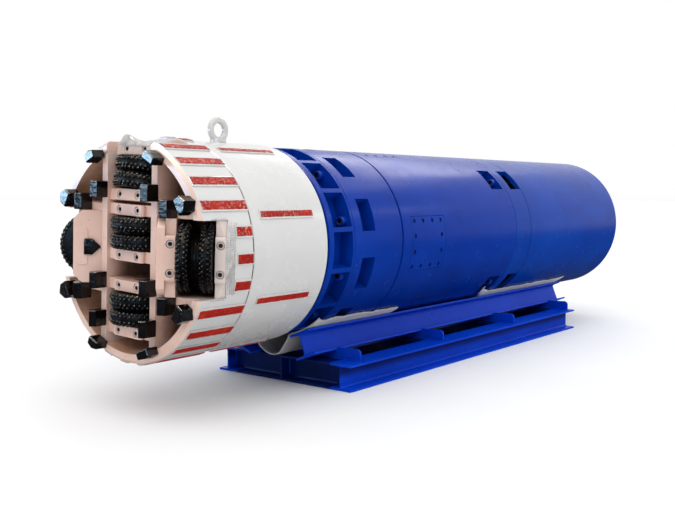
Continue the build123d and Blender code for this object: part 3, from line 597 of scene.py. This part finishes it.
# rows of carbide buttons across one ring: offset as a share of the half width,
# depth below the tip, tilt of the button, base radius, stagger
BUTTON_ROWS = {
    0: [(-0.44, 6.4, -8.0, 5.2, 0.0), (0.44, 6.4, 8.0, 5.2, 0.0),
        (-0.84, 10.6, -48.0, 5.2, 0.5), (0.84, 10.6, 48.0, 5.2, 0.5)],
    1: [(-0.44, 6.4, -9.0, 5.2, 0.0), (0.44, 6.4, 9.0, 5.2, 0.5),
        (-0.84, 10.6, -50.0, 5.2, 0.5), (0.84, 10.6, 50.0, 5.2, 0.0)],
}
BUTTONS = {0: 38, 1: 42}
for name, s, u, v, side, lean, ring_r in CUTTERS:
    A, N = axes_of(side, lean)
    T = N.cross(A)
    c = hp(s, u, v) - N * CAP_H * MM
    bm = bmesh.new()
    prof = cutter_profile(ring_r, RING_AT[side], RING_HALF[side], BLOCK_IN[side] - 6.0)
    count = BUTTONS[abs(side)]
    segs = 96
    loops = []
    for i in range(segs):
        t = 2 * math.pi * i / segs
        d = N * math.cos(t) + T * math.sin(t)
        loops.append([c + d * (q * MM) + A * (a * MM) for q, a in prof])
    skin(bm, loops, cap0=False, cap1=False, close=True)
    seed = len(name) * 1.7
    for ring_at in (-RING_AT[side], RING_AT[side]):
        for share, deep, tilt, base, stagger in BUTTON_ROWS[abs(side)]:
            off = share * RING_HALF[side]
            for k in range(count):
                jig = noise.noise(Vector((k * 1.3, ring_at + off, seed)))
                t = 2 * math.pi * (k + stagger + 0.09 * jig) / count
                d = N * math.cos(t) + T * math.sin(t)
                n = (d * math.cos(math.radians(tilt)) + A * math.sin(math.radians(tilt))).normalized()
                p = c + d * ((ring_r - deep) * MM) + A * ((ring_at + off) * MM)
                a, b = cross_frame(n)
                tall = (5.6 if deep < 8.0 else 4.6) + 0.5 * jig
                dome = [(1.0, -1.6), (1.0, 0.34 * tall), (0.90, 0.62 * tall), (0.68, 0.85 * tall), (0.34, 0.98 * tall)]
                skin(bm, [circle(p + n * (z * MM), a, b, base * w * MM, 9, t) for w, z in dome], mats=[1, 1, 1, 1])
    ob = finish_mesh(name + "_detailed", bm, [cutter_black, button_steel], 50.0)
    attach(ob, name + "_roller")
    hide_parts(name)

# ================================================================ hardfacing
BARS, FACING_W = 27, 31.0
BAR_AT = [(180.0 + k * 360.0 / BARS) % 360.0 for k in range(BARS)]
SHORT_BARS = [a for a in BAR_AT if abs((a + 90.0) % 180.0 - 90.0) < 22.5]
CROWN_BARS = [a for a in BAR_AT if abs(a - 90.0) < 20.0]
LONG_BARS = [a for a in BAR_AT if a not in SHORT_BARS + CROWN_BARS]


def grit_strip(bm, origin, along, across, out, length, width, tall, seed):
    """One run of fused grit on a bar: lumpy top, ragged edges, closed below."""
    nx, ny = max(4, int(length / 3.0)), max(7, int(width / 2.8))
    top = []
    for i in range(nx + 1):
        row = []
        for j in range(ny + 1):
            x, y = length * i / nx, width * (j / ny - 0.5)
            q = Vector((x * 0.16, y * 0.3, seed))
            x += 0.9 * noise.noise(q + Vector((7.3, 0, 0)))
            y += 0.9 * noise.noise(q + Vector((0, 5.1, 0)))
            edge = i in (0, nx) or j in (0, ny)
            if edge:
                if i in (0, nx):
                    x += (1.0 if i == 0 else -1.0) * (0.9 + 0.9 * noise.noise(Vector((y * 0.21, seed, 2.2))))
                if j in (0, ny):
                    y += (1.0 if j == 0 else -1.0) * (0.7 + 0.9 * noise.noise(Vector((x * 0.11, seed, 6.4))))
            lump = 0.5 + 0.5 * noise.noise(Vector((x * 0.33, y * 0.33, seed + 11.0)))
            fine = 0.5 + 0.5 * noise.noise(Vector((x * 0.9, y * 0.9, seed + 23.0)))
            h = tall * (0.30 if edge else 0.46 + 0.32 * lump + 0.20 * fine)
            row.append((x, y, min(h, tall)))
        top.append(row)

    def pt(x, y, h):
        return origin + along * (x * MM) + across * (y * MM) + out * (h * MM)

    grid = [[bm.verts.new(pt(*p)) for p in row] for row in top]
    for i in range(nx):
        for j in range(ny):
            bm.faces.new((grid[i][j], grid[i + 1][j], grid[i + 1][j + 1], grid[i][j + 1]))
    rim = [(i, 0) for i in range(nx)] + [(nx, j) for j in range(ny)]
    rim += [(i, ny) for i in range(nx, 0, -1)] + [(0, j) for j in range(ny, 0, -1)]
    low = [bm.verts.new(pt(top[i][j][0], top[i][j][1], -0.5)) for i, j in rim]
    for k in range(len(rim)):
        m = (k + 1) % len(rim)
        bm.faces.new((grid[rim[k][0]][rim[k][1]], grid[rim[m][0]][rim[m][1]], low[m], low[k]))
    bm.faces.new(low)


bm = bmesh.new()
for s, length, which in ((11.0, 194.0, LONG_BARS), (134.0, 71.0, SHORT_BARS), (160.0, 45.0, CROWN_BARS)):
    for angle in which:
        t = math.radians(angle)
        out = U3 * math.cos(t) + V3 * math.sin(t)
        across = V3 * math.cos(t) - U3 * math.sin(t)
        grit_strip(bm, hp(s + 1, 0, 0) + out * (374.0 * MM), X3, across, out, length - 2, FACING_W, 3.0, angle * 0.23)
grit = finish_mesh("head_hardfacing", bm, [grit_red], 60.0)
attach(grit, "cutterhead")
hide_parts("head_bar_facings")

bm = bmesh.new()
for k in range(8):
    beta = 18.8 + 45.0 * k
    out = out_of(beta)
    across = X3.cross(out)
    grit_strip(bm, at(258, 0, 0) + out * (372.0 * MM), X3, across, out, 258.0, 22.0, 3.0, 100.0 + k * 2.3)
grit = finish_mesh("shield_hardfacing", bm, [grit_red], 60.0)
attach(grit, "front_section")
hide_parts("shield_bar_facings")

# ================================================================ screws
bm = bmesh.new()
for name, s, u, v, side, lean, ring_r in CUTTERS:
    A, N = axes_of(side, lean)
    T = N.cross(A)
    c = hp(s, u, v)
    mid = (BLOCK_IN[side] + BLOCK_OUT) / 2
    for a in (-mid, mid):
        for t in (-45.0, 45.0):
            seat = c + A * (a * MM) + T * (t * MM) - N * (18.0 * MM)
            socket_screw(bm, seat, N, 11.7, 15.5, 6.2, 9.0, turn=a * 0.37 + t * 0.21 + u)
screws = finish_mesh("cap_screws", bm, [screw_pale, socket_shade_and_gasket], 30.0)
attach(screws, "cutterhead")

bm = bmesh.new()
for k in range(10):
    beta = 15.0 + 36.0 * k
    socket_screw(bm, polar(737.0, beta, 324.0), -X3, 18.0, 24.0, 10.0, 13.0, turn=k * 0.7)
screws = finish_mesh("flange_bolts", bm, [bolt_blue, socket_navy_shade], 30.0)
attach(screws, "rear_body")

bm = bmesh.new()
for k in range(4):
    socket_screw(bm, polar(1987.0, 44.0 + 90.0 * k, 334.0), -X3, 18.0, 24.0, 10.0, 13.0, turn=k * 0.9)
screws = finish_mesh("tail_bolts", bm, [bolt_blue, socket_navy_shade], 30.0)
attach(screws, "rear_body")

bm = bmesh.new()
for beta in (-3.0, 87.0, 177.0):
    spots = [(s, beta + side * 15.0) for side in (-1, 1) for s in (1147.0, 1211.0, 1279.0, 1344.0)]
    spots += [(s, beta + side * 5.2) for side in (-1, 1) for s in (1147.0, 1344.0)]
    for s, b in spots:
        button_screw(bm, polar(s, b, 354.6), out_of(b), 7.6, 3.6, 4.2, turn=s * 0.3 + b)
screws = finish_mesh("cover_bolts", bm, [bolt_blue, socket_navy_shade], 30.0)
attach(screws, "rear_body")

# ================================================================ head details
# weld build-up between each outer gauge block and the drum's skin
GC, GS = math.cos(math.radians(50.0)), math.sin(math.radians(50.0))


def block_end(v, r):
    """Station and offset where the block's outer end meets a radius."""
    u = math.sqrt(r * r - v * v)
    n = (u - 303.7 - (BLOCK_OUT + 1) * GS) / GC
    return 19.8 + (BLOCK_OUT + 1) * GC - n * GS, u


bm = bmesh.new()
for side in (-1, 1):
    for row, (gap, r, size) in enumerate(((2.0, 366.4, 7.0), (12.5, 366.4, 7.4), (23.5, 366.8, 7.0), (33.5, 367.6, 5.4))):
        path = []
        for i in range(25):
            v = -117.0 + 234.0 * i / 24
            s, u = block_end(v, r)
            path.append(hp(s + gap + 2.5 * noise.noise(Vector((v * 0.03, row * 3.0, side))), side * u, v))
        bead(bm, path, size, seed=200 + row * 7.0 + side, lump=0.3, pitch=7.0, flat=0.8, up=U3 * side)
    # runs along the top and bottom edges of the opening
    for v in (-121.0, 121.0):
        path = []
        for i in range(9):
            s = 42.0 + 8.0 * i
            u = math.sqrt(369.0 ** 2 - v * v)
            path.append(hp(s, side * u, v + math.copysign(3.0, v)))
        bead(bm, path, 3.6, seed=240 + v + side, lump=0.3, pitch=4.5, flat=0.7, up=(U3 * side + V3 * (v / 370.0)).normalized())
# the same build-up as a mound behind the crown block, highest at its far front corner
S0, S1, U0, U1, STEP = 26.0, 128.0, -66.0, 92.0, 4.0
ns, nu = int((S1 - S0) / STEP), int((U1 - U0) / STEP)
grid = []
for i in range(ns + 1):
    row = []
    for j in range(nu + 1):
        s, u = S0 + (S1 - S0) * i / ns, U0 + (U1 - U0) * j / nu
        peak = 22.0 * math.exp(-((s - 42.0) / 26.0) ** 2 - ((u - 60.0) / (24.0 if u > 60.0 else 40.0)) ** 2)
        edge = min(1.0, min(i, ns - i, j, nu - j) / 3.0)
        lumps = 1.6 * noise.noise(Vector((s * 0.09, u * 0.09, 5.0))) + 0.8 * noise.noise(Vector((s * 0.3, u * 0.3, 8.0)))
        v = 356.0 + (peak + lumps) * edge - 12.0 * (1.0 - edge)
        row.append(bm.verts.new(hp(s, u, v)))
    grid.append(row)
for i in range(ns):
    for j in range(nu):
        bm.faces.new((grid[i][j], grid[i + 1][j], grid[i + 1][j + 1], grid[i][j + 1]))
rim = [(i, 0) for i in range(ns)] + [(ns, j) for j in range(nu)]
rim += [(i, nu) for i in range(ns, 0, -1)] + [(0, j) for j in range(nu, 0, -1)]
foot = [bm.verts.new(hp(S0 + (S1 - S0) * i / ns, U0 + (U1 - U0) * j / nu, 341.0)) for i, j in rim]
for k in range(len(rim)):
    m = (k + 1) % len(rim)
    bm.faces.new((grid[rim[k][0]][rim[k][1]], grid[rim[m][0]][rim[m][1]], foot[m], foot[k]))
bm.faces.new(foot)
welds = finish_mesh("gauge_welds", bm, [weld_paint], 60.0)
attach(welds, "cutterhead")

# raised plates on the housings' inner walls, rounded at the inner corners
bm = bmesh.new()
for side in (-1, 1):
    A, N = axes_of(side, 0)
    T = V3
    base = hp(19.8, side * 303.7, 0) - A * (118.5 * MM)
    edge = [(-8.0, -52.0), (-16.0, -62.0)]
    edge += [(-38.0 - 9.0 * math.sin(q), -53.0 - 9.0 * math.cos(q)) for q in (math.pi / 2 * i / 5 for i in range(6))]
    loop = edge + [(n, -v) for n, v in reversed(edge)]
    mid_n = sum(n for n, v in loop) / len(loop)

    def lay(shrink, out):
        return [base + N * ((mid_n + (n - mid_n) * (1 - shrink / 20.0)) * MM) + T * (v * (1 - shrink / 62.0) * MM)
                - A * (out * MM) for n, v in loop]

    skin(bm, [lay(0.0, -0.6), lay(0.0, 2.0), lay(0.8, 2.8)])
plates = finish_mesh("wall_plates", bm, [face_paint], 30.0)
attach(plates, "cutterhead")

# dark seal in the gap between the turning head and the shield, reaching almost to the skin so it also stands for the
# gap's shadow: painted shade
bm = bmesh.new()
section = [(208.8, 351.0), (213.2, 351.0), (213.2, 366.6), (211.8, 367.2), (210.2, 367.0), (208.8, 365.4)]
loops = []
for i in range(160):
    b = 2 * math.pi * i / 160
    loops.append([at(s, -r * math.cos(b), r * math.sin(b)) for s, r in section])
skin(bm, loops, cap0=False, cap1=False, close=True)
seal_and_gap_shade = finish_mesh("head_seal_gap_shade", bm, [seal_rubber], 30.0)
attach(seal_and_gap_shade, "front_section")

# lid, gasket line and screws of the box on the rear bulkhead
lo, hi = (Vector(p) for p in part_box("junction_box"))
mid_y, mid_z = (lo.y + hi.y) / 2, (lo.z + hi.z) / 2
half_y, half_z = (hi.y - lo.y) / 2, (hi.z - lo.z) / 2


def lid_loop(x, inset, corner):
    """Rounded rectangle on the box's rear face; inset and corner in metres."""
    pts = []
    for cy, cz, start in ((1, 1, 0), (-1, 1, 90), (-1, -1, 180), (1, -1, 270)):
        for k in range(6):
            q = math.radians(start + 18.0 * k)
            pts.append(Vector((x, mid_y + cy * (half_y - inset - corner) + corner * math.cos(q),
                               mid_z + cz * (half_z - inset - corner) + corner * math.sin(q))))
    return pts


bm = bmesh.new()
skin(bm, [lid_loop(hi.x - 0.0005, 0.0075, 0.010), lid_loop(hi.x + 0.002, 0.0075, 0.010)], mats=[1])
skin(bm, [lid_loop(hi.x + 0.0015, 0.005, 0.012), lid_loop(hi.x + 0.0065, 0.005, 0.012), lid_loop(hi.x + 0.008, 0.0065, 0.011),
          lid_loop(hi.x + 0.008, 0.030, 0.006), lid_loop(hi.x + 0.0066, 0.0315, 0.005)])
for cy in (-1, 1):
    for cz in (-1, 1):
        seat = Vector((hi.x + 0.0078, mid_y + cy * (half_y - 0.018), mid_z + cz * (half_z - 0.018)))
        button_screw(bm, seat, X3, 6.0, 4.0, 2.6, turn=cy + 0.4 * cz)
lid = finish_mesh("junction_lid", bm, [machine_grey, socket_shade_and_gasket], 30.0)
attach(lid, "rear_body")

# small rounds on the fabricated edges
for name, width in (("face_picks", 2.4), ("rim_picks", 1.6), ("cutter_caps", 1.6), ("head_ribs", 2.2), ("head_arms", 2.0),
                    ("gauge_walls", 2.0), ("saddle_gussets", 1.2), ("junction_box", 2.5), ("head_bars", 0.8),
                    ("shield_bars", 0.8)):
    bevel_edges(nodes[name], width * MM)

# ================================================================ padding sheets
PHI = 21.5


def spline(points, n):
    """n points, evenly spaced by length, on a smooth curve through points."""
    fine = []
    ext = [points[0] * 2 - points[1]] + points + [points[-1] * 2 - points[-2]]
    for a, b, c, d in zip(ext, ext[1:], ext[2:], ext[3:]):
        for i in range(12):
            t = i / 12.0
            fine.append(0.5 * ((2 * b) + (c - a) * t + (2 * a - 5 * b + 4 * c - d) * t * t
                               + (3 * b - a - 3 * c + d) * t * t * t))
    fine.append(points[-1])
    run = [0.0]
    for p, q in zip(fine, fine[1:]):
        run.append(run[-1] + (q - p).length)
    out, k = [], 0
    for i in range(n):
        want = run[-1] * i / (n - 1)
        while k < len(run) - 2 and run[k + 1] < want:
            k += 1
        f = (want - run[k]) / max(1e-9, run[k + 1] - run[k])
        out.append(fine[k].lerp(fine[k + 1], min(1.0, f)))
    return out, run[-1]


def round_pt(r, alpha, side):
    """Point at an angle from straight down, on the near (-1) or far side."""
    return Vector((side * r * math.sin(math.radians(alpha)), -r * math.cos(math.radians(alpha)), 0))


def ripple(s, seed, size, scale):
    return size * noise.noise(Vector((s * scale, seed, 1.3)))


def sheet_section(s, near, far, lift, seed, sag):
    """Middle line of a sheet across the cradle, near edge to far edge."""
    pts = []
    for side, reach in ((-1, near), (1, far)):
        edge = reach - 29.0
        half = [round_pt(363.6 + lift(s, side), reach, side),
                round_pt(363.5 + 0.55 * lift(s, side), 29.0 + 0.62 * edge, side),
                round_pt(363.4 + 0.15 * lift(s, side), 29.0 + 0.28 * edge, side),
                round_pt(363.3, 28.0, side), round_pt(363.2, 24.0, side), round_pt(363.1, 21.5, side),
                round_pt(363.2, 18.5, side), round_pt(364.6, 15.2, side), Vector((side * 83.0, -357.5, 0))]
        pts.append(half)
    w = ripple(s, seed, 5.0, 0.006)
    belly = [Vector((-77.5, -371.0, 0)), Vector((-66.0 + 0.5 * w, -387.0, 0)), Vector((-50.0 + w, -408.0 - sag * 0.5, 0)),
             Vector((-26.0 + w, -434.0 - sag, 0)), Vector((8.0 + w, -441.0 - sag, 0)), Vector((46.0 + w, -430.0 - sag, 0)),
             Vector((73.0 + 0.5 * w, -412.0 - sag * 0.5, 0)), Vector((85.5, -390.0, 0)), Vector((83.5, -371.0, 0))]
    return pts[0] + belly + list(reversed(pts[1]))


def make_sheet(name, s0, s1, near, far, lift, seed, node, cut=0.0, across=116, pitch=11.0):
    """Draped sheet; cut sets its front end back, all but the near corner."""
    ns = int((s1 - s0) / pitch)
    rows, widths = [], []
    for i in range(ns + 1):
        s = s0 + (s1 - s0) * i / ns
        line, width = spline(sheet_section(s, near(s), far(s), lift, seed, ripple(s, seed + 5.0, 2.0, 0.01)), across)
        widths.append(width)
        row = []
        for j, p in enumerate(line):
            end = 0.0
            if i in (0, ns):
                end = (1 if i == 0 else -1) * (2.0 + 2.0 * noise.noise(Vector((j * 0.12, seed, 4.0))))
            back = min(1.0, max(0.0, (j - 4.0) / 5.0))
            end += cut * back * back * (3.0 - 2.0 * back) * max(0.0, 1.0 - (s - s0) / (3.0 * cut + 1.0))
            row.append(at(s + end, p.x, p.y))
        rows.append(row)
    bm = bmesh.new()
    grid = [[bm.verts.new(p) for p in row] for row in rows]
    for i in range(ns):
        for j in range(across - 1):
            bm.faces.new((grid[i][j], grid[i + 1][j], grid[i + 1][j + 1], grid[i][j + 1]))
    area = sum(f.calc_area() for f in bm.faces)
    ob = finish_mesh(name, bm, [padding_mat], 80.0)
    thick = ob.modifiers.new("thick", "SOLIDIFY")
    thick.thickness = 0.0046
    thick.offset = 0.0
    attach(ob, "rear_body")
    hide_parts(node)
    return ob


def front_near(s):
    t = (s - 690.0) / 550.0
    dip = 2.2 * math.exp(-((s - 745.0) / 40.0) ** 2)
    return 40.2 - 1.0 * min(1.0, 8.0 * t) - 3.2 * t ** 0.8 - dip + ripple(s, 3.0, 1.2, 0.03) + ripple(s, 8.0, 0.7, 0.09)


def front_far(s):
    return 38.0 - 3.0 * (s - 690.0) / 510.0 + ripple(s, 13.0, 1.6, 0.025) + ripple(s, 18.0, 0.6, 0.08)


def front_lift(s, side):
    return 1.0 + 1.0 * ripple(s, 21.0 + side, 1.6, 0.03)


def rear_near(s):
    curl = 9.0 * math.exp(-((s - 1893.0) / 26.0) ** 2)
    tail = 3.0 * max(0.0, (s - 2740.0) / 110.0) ** 2
    return 36.2 + curl + tail + ripple(s, 31.0, 1.0, 0.02)


def rear_far(s):
    return 36.5 + ripple(s, 41.0, 1.4, 0.018)


def rear_lift(s, side):
    curl = 3.0 * math.exp(-((s - 1893.0) / 30.0) ** 2) if side < 0 else 0.0
    tail = 2.5 * max(0.0, (s - 2740.0) / 110.0) ** 2
    return 0.8 + curl + tail + ripple(s, 51.0 + side, 0.8, 0.02)


make_sheet("front_padding", 690.0, 1236.0, front_near, front_far, front_lift, 2.0, "front_liner")
make_sheet("rear_padding", 1895.0, 2848.0, rear_near, rear_far, rear_lift, 17.0, "rear_liner", cut=84.0)

# ================================================================ weld beads
BASE_TOP = -452.0
bm = bmesh.new()
for n, s in enumerate((830.0, 1420.0, 2070.0, 2690.0)):
    for side in (-1, 1):
        for face in (-1, 1):
            x = s + face * 5.4
            lines = [
                [at(x, side * 128, BASE_TOP + 1), at(x, side * 322, BASE_TOP + 1)],
                [at(x, side * 126, -451.0), at(x, side * 214, -416.0)],
            ]
            for m, line in enumerate(lines):
                bead(bm, line, 3.6, seed=n * 5.0 + side + face * 2.0 + m, up=Vector((face * 0.7, 0, 0.7)))
for n, s in enumerate((788.0, 1420.0, 2070.0, 2675.0)):
    for side in (-1, 1):
        bead(bm, [at(s - 48, side * 248.5, BASE_TOP), at(s + 48, side * 248.5, BASE_TOP)], 2.6, seed=40 + n + side,
             up=Vector((0, 0, 1)), flat=0.55)
        for face in (-1, 1):
            bead(bm, [at(s + face * 3.6, side * 294.4, BASE_TOP - 19), at(s + face * 3.6, side * 294.4, BASE_TOP - 81)],
                 3.4, seed=60 + n * 3 + side + face, up=Vector((face * 0.7, -side * 0.7, 0)))
for n, s in enumerate((788.0, 2675.0)):
    for face in (-1, 1):
        for side in (-1, 1):
            x = s + face * 4.0
            bead(bm, [at(x, side * 5.4, BASE_TOP - 20), at(x, side * 5.4, BASE_TOP - 80)], 3.0, seed=90 + n + face + side,
                 up=Vector((face * 0.7, side * 0.7, 0)))
welds = finish_mesh("cradle_welds", bm, [cradle_blue], 60.0)
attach(welds, "rear_body")

# ================================================================ floor and light
bm = bmesh.new()
half = 60.0
quad = [bm.verts.new(Vector((x, y, -0.0006))) for x, y in ((-half, -half), (half, -half), (half, half), (-half, half))]
bm.faces.new(quad)
floor_tree = Tree("floor_pale")
floor_tree.link(floor_tree.ramp(floor_tree.noise(0.6, 4.0, 0.5), [(0.3, srgb(240, 240, 240)), (0.7, srgb(246, 246, 246))]),
                floor_tree.bsdf.inputs["Base Color"])
floor_tree.bsdf.inputs["Roughness"].default_value = 0.7
floor_tree.bsdf.inputs["Specular IOR Level"].default_value = 0.2
floor = finish_mesh("floor", bm, [floor_tree.mat])
floor.visible_glossy = False


def area(name, where, look_at, size, glow, colour, diffuse, glossy):
    """Soft panel; glow is its brightness, so the power follows from its size."""
    data = bpy.data.lights.new(name, "AREA")
    data.shape = "RECTANGLE"
    data.size, data.size_y = size
    data.energy = glow * math.pi * size[0] * size[1]
    data.color = colour
    ob = bpy.data.objects.new(name, data)
    ob.location = where
    ob.rotation_euler = (Vector(look_at) - Vector(where)).to_track_quat("-Z", "Y").to_euler()
    ob.visible_camera = False
    ob.visible_diffuse = diffuse
    ob.visible_glossy = glossy
    scene.collection.objects.link(ob)
    return ob


# name, place, aims at, size, glow, colour, lights surfaces, shows in reflections
LIGHTS = [
    ("bay_lamp_far", (9.7, 3.0, 7.7), (0.3, -0.2, 0.8), (6.0, 2.2), 4.2, (1.0, 0.96, 0.97), False, True),
    ("bay_lamp_mid", (10.0, -1.2, 8.2), (0.3, -0.2, 0.8), (5.0, 0.5), 6.0, (1.0, 0.97, 0.95), False, True),
    ("bay_lamp_near", (9.0, -6.6, 4.9), (0.0, -0.3, 0.6), (1.8, 0.35), 11.0, (1.0, 1.0, 1.0), False, True),
    ("door_glow", (-4.45, -1.25, 0.96), (-1.65, 0.0, 0.9), (1.6, 0.5), 20.0, (0.46, 0.72, 1.0), False, True),
    ("window_far", (-3.65, 2.5, 0.92), (-1.65, 0.0, 0.86), (1.6, 0.5), 22.0, (0.46, 0.72, 1.0), False, True),
    ("roof_glints", (-2.6, 0.2, 4.0), (-1.6, 0.0, 0.6), (2.6, 0.4), 90.0, (1.0, 0.86, 0.62), False, True),
    ("face_key", (-4.6, -0.6, 2.4), (-1.5, 0.0, 0.55), (2.4, 2.0), 1.1, (1.0, 0.93, 0.88), True, False),
    ("side_fill", (-0.6, -5.6, 2.2), (0.0, 0.0, 0.6), (5.0, 2.4), 0.5, (0.95, 0.98, 1.0), True, False),
    ("tail_fill", (3.6, -3.2, 1.8), (1.4, -0.2, 0.6), (2.5, 1.6), 1.6, (0.82, 0.98, 1.0), True, False),
]
for light in LIGHTS:
    area(*light)

sun_data = bpy.data.lights.new("soft_sun", "SUN")
sun_data.energy = 1.0
sun_data.angle = math.radians(70.0)
sun = bpy.data.objects.new("soft_sun", sun_data)
sun.rotation_euler = (-Vector((-0.35, -0.45, 1.0))).to_track_quat("-Z", "Y").to_euler()
sun.visible_glossy = False
scene.collection.objects.link(sun)

# dome: white behind the machine and overhead, dim on the camera's side
world = bpy.data.worlds.new("studio")
scene.world = world
world.use_nodes = True
wt = world.node_tree
ground = wt.nodes["Background"]
ground.inputs["Strength"].default_value = 1.0
coord = wt.nodes.new("ShaderNodeTexCoord")


def dome_mask(direction, low, high):
    dot = wt.nodes.new("ShaderNodeVectorMath")
    dot.operation = "DOT_PRODUCT"
    dot.inputs[1].default_value = direction
    wt.links.new(coord.outputs["Generated"], dot.inputs[0])
    spread = wt.nodes.new("ShaderNodeMapRange")
    spread.interpolation_type = "SMOOTHSTEP"
    spread.inputs["From Min"].default_value = low
    spread.inputs["From Max"].default_value = high
    wt.links.new(dot.outputs["Value"], spread.inputs["Value"])
    return spread.outputs["Result"]


def dome_mix(mask, a, b):
    n = wt.nodes.new("ShaderNodeMix")
    n.data_type = "RGBA"
    wt.links.new(mask, n.inputs["Factor"])
    for value, socket in ((a, n.inputs["A"]), (b, n.inputs["B"])):
        if hasattr(value, "is_linked"):
            wt.links.new(value, socket)
        else:
            socket.default_value = value
    return n.outputs["Result"]


sky = dome_mix(dome_mask((0.78, 0.62, 0.0), -0.1, 0.72), (0.24, 0.25, 0.27, 1.0), (1.0, 1.0, 1.0, 1.0))
sky = dome_mix(dome_mask((0.0, 0.0, 1.0), 0.12, 0.8), sky, (0.98, 0.99, 1.0, 1.0))
sky = dome_mix(dome_mask((0.0, 0.0, -1.0), 0.0, 0.12), sky, (0.05, 0.05, 0.06, 1.0))
wt.links.new(sky, ground.inputs["Color"])
scene.view_settings.view_transform = "Standard"
